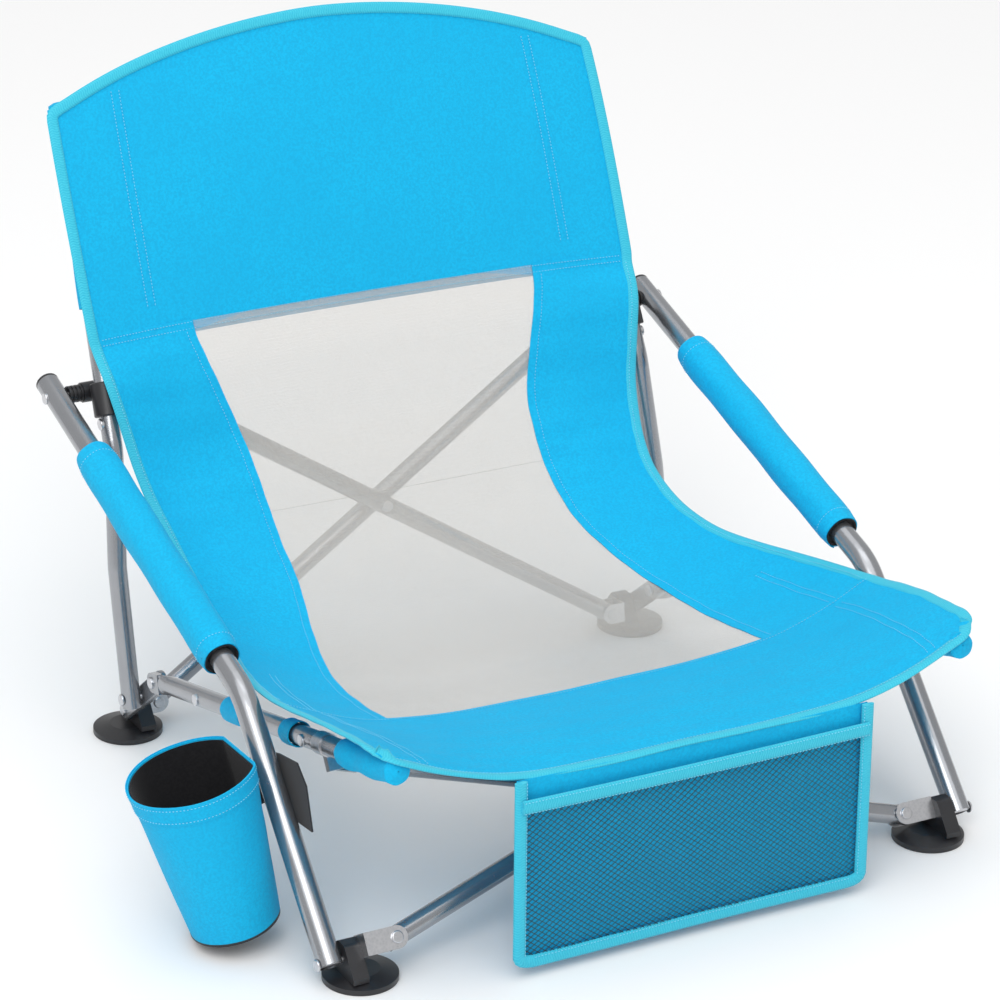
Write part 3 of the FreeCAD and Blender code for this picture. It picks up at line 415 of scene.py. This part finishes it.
def sew(name, points, surface, body, lift=0.0):
    piece = cloth(name, points, surface, CLOTH, lift)
    folds_with(piece, body)
    cut_from(points)
    return piece


def hold(piece, body):
    """Fixes a piece that doesn't crumple to its tube."""
    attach(piece, body)


header_grid = grid(header_place, 0.0, 1.0, 40, 64)
header = sew("header_panel", header_grid, sky, "left_post", lift=0.9)
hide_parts("sling_back")

seat_panels = []
for side, word in SIDES:
    seam, edge = (-1.0, -2.0) if side < 0 else (1.0, 2.0)
    low, high = min(seam, edge), max(seam, edge)
    back_strip = grid(lambda u, v: pucker(sling(u, v), u, v), HEADER_ROW - 0.12, CREASE_ROW, 44, 14, low, high)
    sew(f"back_side_panel_{word}", back_strip, sky, "left_post")
    seat_strip = grid(lambda u, v: pucker(sling(u, v), u, v), CREASE_ROW, FRONT_PANEL_ROW + 0.1, 64, 14, low, high)
    seat_panels.append(sew(f"seat_side_panel_{word}", seat_strip, sky, "left_rail"))


def front_place(across, row):
    """The front panel rounds off at both front corners and sags between them."""
    point = sling(across, row)
    turn = max(0.0, row - 18.0) / 2
    corner = max(0.0, abs(across) - 1.80) / 0.20
    point.y += 13.0 * (turn ** 2) * (corner ** 2)
    point.x -= math.copysign(2.5, across) * (turn ** 3) * corner
    return pucker(point, across * 2.0, row)


front_grid = grid(front_place, FRONT_PANEL_ROW, LAST_ROW, 40, 72)
front_panel = sew("front_panel", front_grid, sky, "left_rail", lift=0.5)
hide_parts("sling_seat")

# ---- Mesh centre of the sling ----
# Open knitted polyester mesh, light grey, sewn between the blue strips. The tubes
# behind it show through as dark bands.
mesh_cloth = Surface("grey_open_mesh", (0.66, 0.62, 0.56), Roughness=0.75, Sheen_Weight=0.1)
over, along = mesh_cloth.cloth_place()
pitch = 0.0021
row_turn = 2 * math.pi / pitch
holes = (over * row_turn + (along * (row_turn / 1.5)).sine() * 0.9).sine() * (along * row_turn).sine()
thread_mottle = mesh_cloth.noise(mesh_cloth.place(), 260.0, 3.0, 0.6)
stripe = (along * (2 * math.pi / 0.0042)).sine()
mesh_cloth.feed("Base Color", mesh_cloth.blend(thread_mottle * 0.7 + stripe * 0.06, (0.60, 0.57, 0.53),
                                               (0.80, 0.77, 0.72)))
mesh_cloth.feed("Alpha", 0.82 - holes.size().within(0.10, 0.38) * 0.72)
mesh_cloth.bump(holes.size() * -1.0 + stripe * 0.1, 0.5, 0.0006)
mesh_back_grid = grid(sling, HEADER_ROW - 0.1, CREASE_ROW, 44, 40, -1.04, 1.04)
sew("mesh_back", mesh_back_grid, mesh_cloth, "left_post", lift=-1.3)
mesh_seat_grid = grid(sling, CREASE_ROW, FRONT_PANEL_ROW + 0.15, 64, 40, -1.04, 1.04)
sew("mesh_seat", mesh_seat_grid, mesh_cloth, "left_rail", lift=-1.3)

# ---- Binding round the sling ----
# Turquoise woven tape, 20 mm wide, folded over the raw edge all the way round and
# sewn down. It shows a fine herringbone.
tape = Surface("turquoise_binding_tape", (0.03, 0.52, 0.66), Roughness=0.68, Sheen_Weight=0.1)
over, along = tape.cloth_place()
zigzag = ((along * 2600.0) + ((over * 700.0).sine() * 2.0)).sine()
tape_mottle = tape.noise(tape.place(), 500.0, 2.0)
tape.feed("Base Color", tape.blend(zigzag * 0.25 + tape_mottle * 0.6, (0.012, 0.44, 0.62), (0.06, 0.60, 0.74)))
tape.bump(zigzag * 0.6 + tape_mottle * 0.4, 0.4, 0.0005)


def ribbon(name, path, inward, facing, half_width, thick, surface):
    """A flat tape along a path. inward points across the tape and facing out of it;
    its section is a flattened ring, so that its folded edge is round."""
    steps = 10
    section = []
    for k in range(steps):
        turn = 2 * math.pi * k / steps
        c, s = math.cos(turn), math.sin(turn)
        section.append((half_width * math.copysign(abs(c) ** 0.6, c), thick * math.copysign(abs(s) ** 0.8, s)))
    points = []
    distance = [0.0]
    for i, (p, a, b) in enumerate(zip(path, inward, facing)):
        points += [at(*(p + a * u + b * w)) for u, w in section]
        if i:
            distance.append(distance[-1] + (p - path[i - 1]).length / 1000)
    rings = len(path)
    faces = [(i * steps + k, i * steps + (k + 1) % steps, (i + 1) * steps + (k + 1) % steps, (i + 1) * steps + k)
             for i in range(rings - 1) for k in range(steps)]
    faces.append(tuple(range(steps - 1, -1, -1)))
    faces.append(tuple((rings - 1) * steps + k for k in range(steps)))
    mesh = bpy.data.meshes.new(name)
    mesh.from_pydata(points, [], faces)
    uv = mesh.uv_layers.new(name="UVMap")
    for loop in mesh.loops:
        i, k = divmod(loop.vertex_index, steps)
        uv.data[loop.index].uv = (section[k][0] / 1000, distance[i])
    piece = bpy.data.objects.new(name, mesh)
    bpy.context.collection.objects.link(piece)
    mesh.materials.append(surface.material)
    bpy.ops.object.select_all(action="DESELECT")
    bpy.context.view_layer.objects.active = piece
    piece.select_set(True)
    bpy.ops.object.mode_set(mode="EDIT")
    bpy.ops.mesh.select_all(action="SELECT")
    bpy.ops.mesh.normals_make_consistent(inside=False)
    bpy.ops.object.mode_set(mode="OBJECT")
    bpy.ops.object.shade_smooth_by_angle(angle=math.radians(50))
    return piece


def edge_frames(points, inner):
    """Directions along an edge: towards the cloth's inside, and out of its face."""
    across, facing = [], []
    for i, (p, q) in enumerate(zip(points, inner)):
        run = (points[min(len(points) - 1, i + 1)] - points[max(0, i - 1)]).normalized()
        side = (q - p)
        side = (side - run * side.dot(run)).normalized()
        out = run.cross(side).normalized()
        across.append(side)
        facing.append(out)
    return across, facing


def bind(name, points, inner, body, half_width=5.5):
    across, facing = edge_frames(points, inner)
    path = [p + a * (half_width - 2.5) for p, a in zip(points, across)]
    piece = ribbon(name, path, across, facing, half_width, 1.9, tape)
    folds_with(piece, body)
    return piece


def column(points, j):
    return [row[j] for row in points]


header_left = column(header_grid, 0)
header_right = column(header_grid, -1)
crown_edge = header_grid[-1]
inner_crown = header_grid[-3]
back_left = [sling(-2, HEADER_ROW + (CREASE_ROW - HEADER_ROW) * i / 40) for i in range(41)]
back_left_in = [sling(-1.8, HEADER_ROW + (CREASE_ROW - HEADER_ROW) * i / 40) for i in range(41)]
round_back = list(reversed(back_left)) + header_left[1:-1] + crown_edge
round_in = list(reversed(back_left_in)) + column(header_grid, 4)[1:-1] + inner_crown
round_back += list(reversed(header_right))[1:-1] + [Vector((-p.x, p.y, p.z)) for p in back_left]
round_in += list(reversed(column(header_grid, -5)))[1:-1] + [Vector((-p.x, p.y, p.z)) for p in back_left_in]


def eased(points, times=2):
    """Takes the sharpness out of a corner in a run of places."""
    for _ in range(times):
        points = [points[0]] + [(a + b * 2 + c) / 4 for a, b, c in zip(points, points[1:], points[2:])] + [points[-1]]
    return points


bind("binding_back", eased(round_back), eased(round_in), "left_post")
seat_steps = 60
seat_left = [sling(-2, CREASE_ROW + (FRONT_PANEL_ROW - CREASE_ROW) * i / seat_steps) for i in range(seat_steps)]
seat_left_in = [sling(-1.8, CREASE_ROW + (FRONT_PANEL_ROW - CREASE_ROW) * i / seat_steps)
                for i in range(seat_steps)]
round_seat = seat_left + column(front_grid, 0)[:-1] + front_grid[-1]
round_seat += list(reversed(column(front_grid, -1)[:-1])) + [Vector((-p.x, p.y, p.z)) for p in reversed(seat_left)]
seat_in = seat_left_in + column(front_grid, 4)[:-1] + front_grid[-4]
seat_in += list(reversed(column(front_grid, -5)[:-1])) + [Vector((-p.x, p.y, p.z)) for p in reversed(seat_left_in)]
bind("binding_seat", eased(round_seat), eased(seat_in), "left_rail")

# ---- Stitching ----
# Lockstitch in pale turquoise thread, about 3.2 mm a stitch: two rows along the
# header seam and down each post sleeve, one row beside the mesh and on the binding.
thread = Surface("pale_turquoise_thread", (0.10, 0.55, 0.78), Roughness=0.6, Sheen_Weight=0.2)
twist = thread.noise(thread.place(), 2200.0, 1.0)
thread.feed("Base Color", thread.blend(twist, (0.14, 0.60, 0.84), (0.32, 0.76, 0.92)))


def resample(points, step):
    """Places at even distances along a run, each with its direction."""
    spaced = []
    left = step / 2
    for a, b in zip(points, points[1:]):
        length = (b - a).length
        if length < 1e-6:
            continue
        place = left
        while place < length:
            spaced.append((a + (b - a) * (place / length), (b - a) / length))
            place += step
        left = place - length
    return spaced


def stitches(name, runs, body, surface=thread, pitch=3.2, size=0.5, folds=True):
    """Rows of stitches. Each run is (places, directions out of the cloth)."""
    points, faces = [], []
    for places, facing in runs:
        for number, (p, run) in enumerate(resample(places, pitch)):
            out = facing(p, number) if callable(facing) else facing
            side = run.cross(out).normalized()
            base = len(points)
            ends = (p - run * pitch * 0.36, p + run * pitch * 0.36)
            points.append(at(*(ends[0] - out * 0.25)))
            points += [at(*(p + side * size)), at(*(p + out * size * 1.5)), at(*(p - side * size))]
            points.append(at(*(ends[1] - out * 0.25)))
            faces += [(base, base + 2, base + 1), (base, base + 3, base + 2), (base + 4, base + 1, base + 2),
                      (base + 4, base + 2, base + 3), (base, base + 1, base + 4, base + 3)]
    mesh = bpy.data.meshes.new(name)
    mesh.from_pydata(points, [], faces)
    mesh.materials.append(surface.material)
    mesh.polygons.foreach_set("use_smooth", [True] * len(mesh.polygons))
    piece = bpy.data.objects.new(name, mesh)
    bpy.context.collection.objects.link(piece)
    if folds:
        folds_with(piece, body)
    return piece


def header_run(z_shift, lift):
    run = []
    for j in range(129):
        across = -1.93 + 3.86 * j / 128
        p = header_place(across, z_shift / 250)
        run.append(p + Vector((0, -lift * 0.9, lift * 0.44)))
    return run


front_out = Vector((0, -0.895, 0.446))
seam_rows = [(header_run(3.5, 1.5), front_out), (header_run(9.5, 1.5), front_out)]
for side in (-1, 1):
    for x_top, x_low in ((221.0, 223.0), (213.0, 215.0)):
        run = []
        for i in range(41):
            z = 402.0 + (588.0 - 402.0) * i / 40
            share = (x_low + (x_top - x_low) * i / 40) / 286.0 * 2
            rise = (z - HEADER_SEAM) / (crown(share * 143) - HEADER_SEAM)
            run.append(header_place(side * share, rise) + front_out * 1.5)
        seam_rows.append((run, front_out))
stitches("header_stitches", seam_rows, "left_post")


def sling_out(across, row):
    a = sling(across, row + 0.05) - sling(across, row - 0.05)
    b = sling(across + 0.02, row) - sling(across - 0.02, row)
    return a.cross(b).normalized()


def sling_run(across, low, high, count, lift):
    run = []
    for i in range(count + 1):
        row = low + (high - low) * i / count
        run.append(pucker(sling(across, row), across, row) + sling_out(across, row) * lift)
    return run


upward = Vector((0, -0.4, 0.917))
for name, body, low, high, out in (("back_seam_stitches", "left_post", HEADER_ROW + 0.1, CREASE_ROW, front_out),
                                   ("seat_seam_stitches", "left_rail", CREASE_ROW, FRONT_PANEL_ROW, upward)):
    rows = []
    for side in (-1, 1):
        rows.append((sling_run(side * 1.06, low, high, 90, 0.8), out))
        rows.append((sling_run(side * 1.915, low, high, 90, 2.1), out))
    stitches(name, rows, body)


def front_run(across_low, across_high, row_low, row_high, count, lift):
    run = []
    for i in range(count + 1):
        t = i / count
        row = row_low + (row_high - row_low) * t
        across = across_low + (across_high - across_low) * t
        run.append(front_place(across, row) + sling_out(across, min(row, 19.9)) * lift)
    return run


front_rows = [(front_run(-1.94, 1.94, FRONT_PANEL_ROW + 0.12, FRONT_PANEL_ROW + 0.12, 120, 1.3), upward),
              (front_run(-1.8, 1.8, LAST_ROW - 0.32, LAST_ROW - 0.32, 120, 2.2), upward)]
for side in (-1, 1):
    for across in (1.50, 1.56):
        front_rows.append((front_run(side * across, side * across, FRONT_PANEL_ROW + 0.3, 19.4, 50, 1.4), upward))
        rail_stitch = sling_run(side * (across + 0.02), 12.8, FRONT_PANEL_ROW, 50, 0.9)
        front_rows.append((rail_stitch, upward))
stitches("front_stitches", front_rows, "left_rail")

# ---- Sleeves behind the sling ----
# The header's back has a sewn sleeve down each side that slips over the post, closed
# at the top. Loops and a corner pouch under the seat hold it to the rails.


def tube_cloth(name, centres, radii, surface, thickness=1.1, flatness=1.0, steps=28, closed_end=False):
    """Cloth sewn into a tube round a line of centres, with a slightly uneven drape."""
    points = []
    for i, (centre, radius) in enumerate(zip(centres, radii)):
        run = (centres[min(len(centres) - 1, i + 1)] - centres[max(0, i - 1)]).normalized()
        side = Vector((1, 0, 0))
        side = (side - run * side.dot(run)).normalized()
        other = run.cross(side)
        ring = []
        for k in range(steps + 1):
            turn = 2 * math.pi * k / steps
            ripple = 1 + 0.02 * math.sin(3 * turn + i * 0.35) + 0.012 * math.sin(7 * turn - i * 0.22)
            ring.append(centre + side * (radius * ripple * math.cos(turn))
                        + other * (radius * flatness * ripple * math.sin(turn)))
        points.append(ring)
    if closed_end:
        tip = sum(points[-1][:-1], Vector()) / steps
        for share, rise in ((0.6, 2.2), (0.05, 3.0)):
            run = (centres[-1] - centres[-2]).normalized()
            points.append([tip + (p - tip) * share + run * rise for p in points[len(centres) - 1]])
    piece = cloth(name, points, surface, thickness)
    return piece, points


post_top = Vector((267.0, 673.0, 577.0))
post_hub = Vector((279.0, 552.0, 329.0))
for side, word in SIDES:
    centres = []
    for i in range(31):
        t = 0.31 + (1.0 - 0.31) * i / 30
        p = post_hub + (post_top - post_hub) * t
        centres.append(Vector((side * p.x, p.y + 1.4, p.z)))
    radii = [10.7 + 0.3 * math.sin(i * 0.5) for i in range(31)]
    sleeve, sleeve_grid = tube_cloth(f"post_sleeve_{word}", centres, radii, sky, closed_end=True)
    hold(sleeve, f"{word}_post")
    tuple(at(side * post_top.x, post_top.y, post_top.z))
    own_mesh(sleeve)
    cut_from(sleeve_grid)

rail_rear = Vector((278.0, 440.6, 87.0))
rail_run = Vector((0, -math.cos(math.radians(14.5)), math.sin(math.radians(14.5))))
rail_loops = (("rear", 168.0, 206.0, 11.6), ("middle", 292.0, 312.0, 11.2), ("corner", 408.0, 502.0, 12.2))
for side, word in SIDES:
    for place, low, high, radius in rail_loops:
        centres = []
        radii = []
        count = 12 if place != "corner" else 24
        for i in range(count + 1):
            p = rail_rear + rail_run * (low + (high - low) * i / count)
            sag = 0.0
            if place == "corner":
                sag = 1.4 * math.sin(i * 0.55) - 2.2 * max(0.0, i / count - 0.8) / 0.2
            centres.append(Vector((side * p.x, p.y, p.z)))
            radii.append(radius + sag * 0.6)
        loop, loop_grid = tube_cloth(f"rail_{place}_loop_{word}", centres, radii, sky,
                                     closed_end=place == "corner")
        hold(loop, f"{word}_rail")
        cut_from(loop_grid)

# ---- Arm sleeves ----
# A blue cloth sleeve over foam on each arm, closed along its underside by a flap
# whose black lining shows, with a stitched hem at each end.
lining = woven("black_lining", (0.012, 0.012, 0.014), (0.006, 0.006, 0.008), 0.0012, 0.0004, 0.1)
arm_bolt_at = Vector((318.0, 577.5, 329.0))
arm_end_at = Vector((318.0, 167.5, 201.0))
arm_run = (arm_end_at - arm_bolt_at).normalized()
arm_up = Vector((1, 0, 0)).cross(arm_run).normalized()
if arm_up.z < 0:
    arm_up = -arm_up
for side, word in SIDES:
    points = []
    rows = 64
    steps = 44
    for i in range(rows + 1):
        t = 92.0 + 292.0 * i / rows
        centre = arm_bolt_at + arm_run * t
        ends = min(i, rows - i) / rows
        radius = 18.3 - 1.9 * math.exp(-ends * 26) + 0.35 * math.sin(i * 0.33) * min(1.0, ends * 8)
        ring = []
        for k in range(steps + 1):
            turn = math.radians(-108 + 366 * k / steps)
            spiral = radius + 1.5 * max(0.0, (k / steps - 0.9) / 0.1) + 0.25 * math.sin(5 * turn + i * 0.17)
            p = centre + Vector((1, 0, 0)) * (spiral * math.cos(turn)) + arm_up * (spiral * 1.02 * math.sin(turn))
            ring.append(Vector((side * p.x, p.y, p.z)))
        points.append(ring)
    sleeve = cloth(f"arm_sleeve_{word}", points, sky, CLOTH)
    hold(sleeve, f"{word}_leg")
    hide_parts(f"{word}_arm_sleeve")
    cut_from(points)
    inner = []
    for i in range(rows + 1):
        t = 91.0 + 294.0 * i / rows
        centre = arm_bolt_at + arm_run * t
        ring = []
        for k in range(steps + 1):
            turn = math.radians(-112 + 362 * k / steps)
            radius = 16.6 - 1.5 * math.exp(-min(i, rows - i) / rows * 26)
            p = centre + Vector((1, 0, 0)) * (radius * math.cos(turn)) + arm_up * (radius * math.sin(turn))
            ring.append(Vector((side * p.x, p.y, p.z)))
        inner.append(ring)
    backing = cloth(f"arm_lining_{word}", inner, lining, 0.8)
    hold(backing, f"{word}_leg")
    cut_from(inner)
    hem_rows = []
    for ring in (points[3], points[rows - 3]):
        centre = sum(ring[:-1], Vector()) / (len(ring) - 1)
        hem_rows.append(([p + (p - centre).normalized() * 0.6 for p in ring],
                         lambda p, n, c=centre: (p - c).normalized()))
    hem = stitches(f"arm_hem_stitches_{word}", hem_rows, f"{word}_leg", folds=False)
    hold(hem, f"{word}_leg")

foam = Surface("charcoal_foam", (0.03, 0.03, 0.032), Roughness=0.9)
cells = foam.noise(foam.place(), 1400.0, 3.0, 0.7)
foam.feed("Base Color", foam.blend(cells, (0.02, 0.02, 0.022), (0.05, 0.05, 0.052)))
foam.bump(cells, 0.5, 0.0006)
coat(foam, "left_arm_padding", "right_arm_padding")

# ---- Front pocket ----
# A flat pocket hung under the front edge: blue backing, black knitted net in front,
# turquoise tape round the sides and bottom and along the net's top.
POCKET_LEFT = -177.0
POCKET_RIGHT = 177.0


def pocket_place(x, drop, depth):
    """drop runs from 0 at the sling's front edge to 1 at the pocket's bottom."""
    sag = 2.5 * math.sin(x / 60.0 + 1.0) * drop
    top = 186.0 - 1.5 * math.cos(x / 177.0 * math.pi / 2)
    return Vector((x, -59.0 - depth + sag * 0.4 - 2.0 * drop, top - (top - 10.0) * drop))


def pocket_grid(low, high, depth, bulge, inset=0.0, columns=60, rows=40):
    points = []
    for i in range(rows + 1):
        drop = low + (high - low) * i / rows
        line = []
        for j in range(columns + 1):
            x = POCKET_LEFT + inset + (POCKET_RIGHT - POCKET_LEFT - 2 * inset) * j / columns
            swell = math.sin(math.pi * j / columns) ** 0.7 * math.sin(math.pi * i / rows) ** 0.7
            ripple = 0.6 * math.sin(j * 0.42 + i * 0.13) * math.sin(i * 0.21)
            line.append(pocket_place(x, drop, depth + bulge * swell + ripple * (bulge > 1)))
        points.append(line)
    return points


back_of_pocket = pocket_grid(0.0, 0.972, 0.0, 0.6, 4.0)
pocket_back = sew("pocket_backing", back_of_pocket, sky, "left_rail")
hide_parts("front_pocket")
net = Surface("black_pocket_net", (0.008, 0.012, 0.03), Roughness=0.55)
over, along = net.cloth_place()
cell_wide = math.pi / 0.0068
cell_tall = math.pi / 0.0052
slant_a = ((over * cell_wide) + (along * cell_tall)).sine().size()
slant_b = ((over * cell_wide) - (along * cell_tall)).sine().size()
threads = 1.0 - slant_a.lower(slant_b).within(0.13, 0.24)
net.feed("Base Color", net.blend(net.noise(net.place(), 300.0), (0.002, 0.005, 0.016), (0.006, 0.014, 0.04)))
net.feed("Alpha", threads)
net.bump(threads, 0.6, 0.0008)
net_grid = pocket_grid(0.11, 0.965, 3.2, 6.0, 5.0)
sew("pocket_net", net_grid, net, "left_rail")


def pocket_tape(name, path, inner, half_width=6.0):
    across, facing = edge_frames(path, inner)
    piece = ribbon(name, path, across, facing, half_width, 2.4, tape)
    folds_with(piece, "left_rail")
    return piece


rim = [pocket_place(-171.0, i / 40 * 0.93, 4.0) for i in range(41)]
corner_left = [pocket_place(-171.0 + 12 * (1 - math.cos(a)), 0.93 + 0.035 * math.sin(a), 4.0)
               for a in (0.4, 0.8, 1.2)]
bottom = [pocket_place(-158.0 + 316.0 * i / 50, 0.967, 4.0) for i in range(51)]
round_pocket = rim + corner_left + bottom + [Vector((-p.x, p.y, p.z)) for p in reversed(rim + corner_left)]
middle_of_pocket = pocket_place(0.0, 0.4, 4.0)
pocket_tape("pocket_side_tape", round_pocket, [middle_of_pocket] * len(round_pocket))
net_top = [pocket_place(-171.0 + 342.0 * i / 60, 0.125, 7.5) for i in range(61)]
net_top_in = [p + Vector((0, 0, -20)) for p in net_top]
pocket_tape("pocket_net_tape", net_top, net_top_in, 6.5)
pocket_rows = [([p + Vector((0, -2.7, 5.0)) for p in net_top], Vector((0, -1, 0))),
               ([p + Vector((0, -2.7, -5.0)) for p in net_top], Vector((0, -1, 0))),
               ([p + Vector((4.6, -2.6, 0)) for p in rim], Vector((0, -1, 0))),
               ([Vector((-p.x - 4.6, p.y - 2.6, p.z)) for p in rim], Vector((0, -1, 0))),
               ([p + Vector((0, -2.6, 4.6)) for p in bottom], Vector((0, -1, 0)))]
stitches("pocket_stitches", pocket_rows, "left_rail")

# ---- Cup holder ----
# A cone-shaped cloth cup with a stitched rim hem and a black base, lined in black,
# beside the left leg. A black cloth flap holds it to the seat rail.
cup_low = Vector((-357.0, 104.0, 22.0))
cup_run = Vector((-36.0, 8.0, 146.0)).normalized()
cup_side = Vector((1, 0, 0))
cup_side = (cup_side - cup_run * cup_side.dot(cup_run)).normalized()
cup_back = cup_run.cross(cup_side)


def cup_wall(start, end, inset, rows=30, steps=64):
    points = []
    for i in range(rows + 1):
        t = start + (end - start) * i / rows
        radius = 40.0 + 16.0 * t / 148.0 - inset
        ring = []
        for k in range(steps + 1):
            turn = 2 * math.pi * k / steps + 0.4
            dent = 1 - 0.012 * math.sin(2 * turn + 0.6) * (t / 148.0) - 0.006 * math.sin(5 * turn + t * 0.05)
            if turn < 0.4:
                turn = 0.4
            reach = min(radius * dent * math.cos(turn), radius * (0.97 - 0.15 * t / 148.0))
            ring.append(cup_low + cup_run * t + cup_side * reach
                        + cup_back * (radius * dent * math.sin(turn)))
        points.append(ring)
    return points


cup_grid = cup_wall(0.0, 148.0, 0.6)
cup = cloth("cup_holder_wall", cup_grid, sky, 1.2)
hold(cup, "left_leg")
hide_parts("cup_holder")
cut_from(cup_grid)
hem_grid = cup_wall(130.0, 149.0, -0.5, 6)
cup_hem = cloth("cup_holder_hem", hem_grid, sky, 1.0)
hold(cup_hem, "left_leg")
cut_from(hem_grid)
inside_grid = cup_wall(1.5, 147.0, 2.2)
cup_inside = cloth("cup_holder_lining", inside_grid, lining, 0.8)
hold(cup_inside, "left_leg")
cut_from(inside_grid)
cup_rows = []
for t, inset in ((132.5, -1.2), (145.5, -1.2)):
    ring = cup_wall(t, t + 0.1, inset, 1)[0]
    centre = cup_low + cup_run * t
    cup_rows.append((ring, lambda p, n, c=centre: (p - c).normalized()))
cup_stitches = stitches("cup_stitches", cup_rows, "left_leg", folds=False)
hold(cup_stitches, "left_leg")
black_cloth = Surface("black_cloth", (0.015, 0.015, 0.018), Roughness=0.85, Sheen_Weight=0.15)
nap = black_cloth.noise(black_cloth.place(), 700.0, 3.0, 0.6)
black_cloth.feed("Base Color", black_cloth.blend(nap, (0.008, 0.008, 0.010), (0.030, 0.030, 0.034)))
black_cloth.bump(nap, 0.4, 0.0005)
coat(black_cloth, "cup_holder_base", "cup_holder_flap")

# ---- Camera, floor and light ----
# A plain pale floor with soft light from both sides, and the camera low and far off.
CAMERA_TURN = math.radians(-28.6)
CAMERA_ROLL = math.radians(1.05)
back = Vector((-0.4414, -0.8094, 0.3873)).normalized()
right = Vector((math.cos(CAMERA_TURN), math.sin(CAMERA_TURN), 0))
up = back.cross(right).normalized()
right = (right * math.cos(CAMERA_ROLL) + up * math.sin(CAMERA_ROLL)).normalized()
up = back.cross(right).normalized()
camera_data = bpy.data.cameras.new("camera")
camera_data.lens = 144.42
camera_data.sensor_width = 36.0
camera_data.clip_end = 60.0
camera = bpy.data.objects.new("camera", camera_data)
camera.matrix_world = Matrix.Translation(at(-1615.3, -2665.9, 1690.6)) @ Matrix((right, up, back)).transposed().to_4x4()
bpy.context.collection.objects.link(camera)
bpy.context.scene.camera = camera

bpy.ops.object.select_all(action="DESELECT")
bpy.ops.mesh.primitive_plane_add(size=40, location=at(0, 0, -0.3))
floor = bpy.context.object
floor.name = "floor"
pale = Surface("pale_floor", (0.93, 0.93, 0.93), Roughness=0.6)
floor.data.materials.append(pale.material)


def lamp(name, place, aim, size, power):
    data = bpy.data.lights.new(name, "AREA")
    data.shape = "SQUARE"
    data.size = size
    data.energy = power
    light = bpy.data.objects.new(name, data)
    light.location = at(*place)
    light.rotation_euler = (at(*aim) - light.location).to_track_quat("-Z", "Y").to_euler()
    bpy.context.collection.objects.link(light)


lamp("key_light", (-1500, -1700, 2300), (0, 250, 250), 1.5, 24)
lamp("top_light", (0, 600, 2900), (0, 250, 200), 2.0, 12)
sky_light = bpy.data.objects.new("even_light", bpy.data.lights.new("even_light", "SUN"))
sky_light.data.energy = 1.25
sky_light.data.angle = math.radians(70)
sky_light.rotation_euler = Vector((0.35, 0.45, -1)).to_track_quat("-Z", "Y").to_euler()
bpy.context.collection.objects.link(sky_light)
world = bpy.data.worlds.new("studio")
world.use_nodes = True
world.node_tree.nodes["Background"].inputs[0].default_value = (1, 1, 1, 1)
world.node_tree.nodes["Background"].inputs[1].default_value = 0.62
bpy.context.scene.world = world
bpy.context.scene.view_settings.view_transform = "Standard"
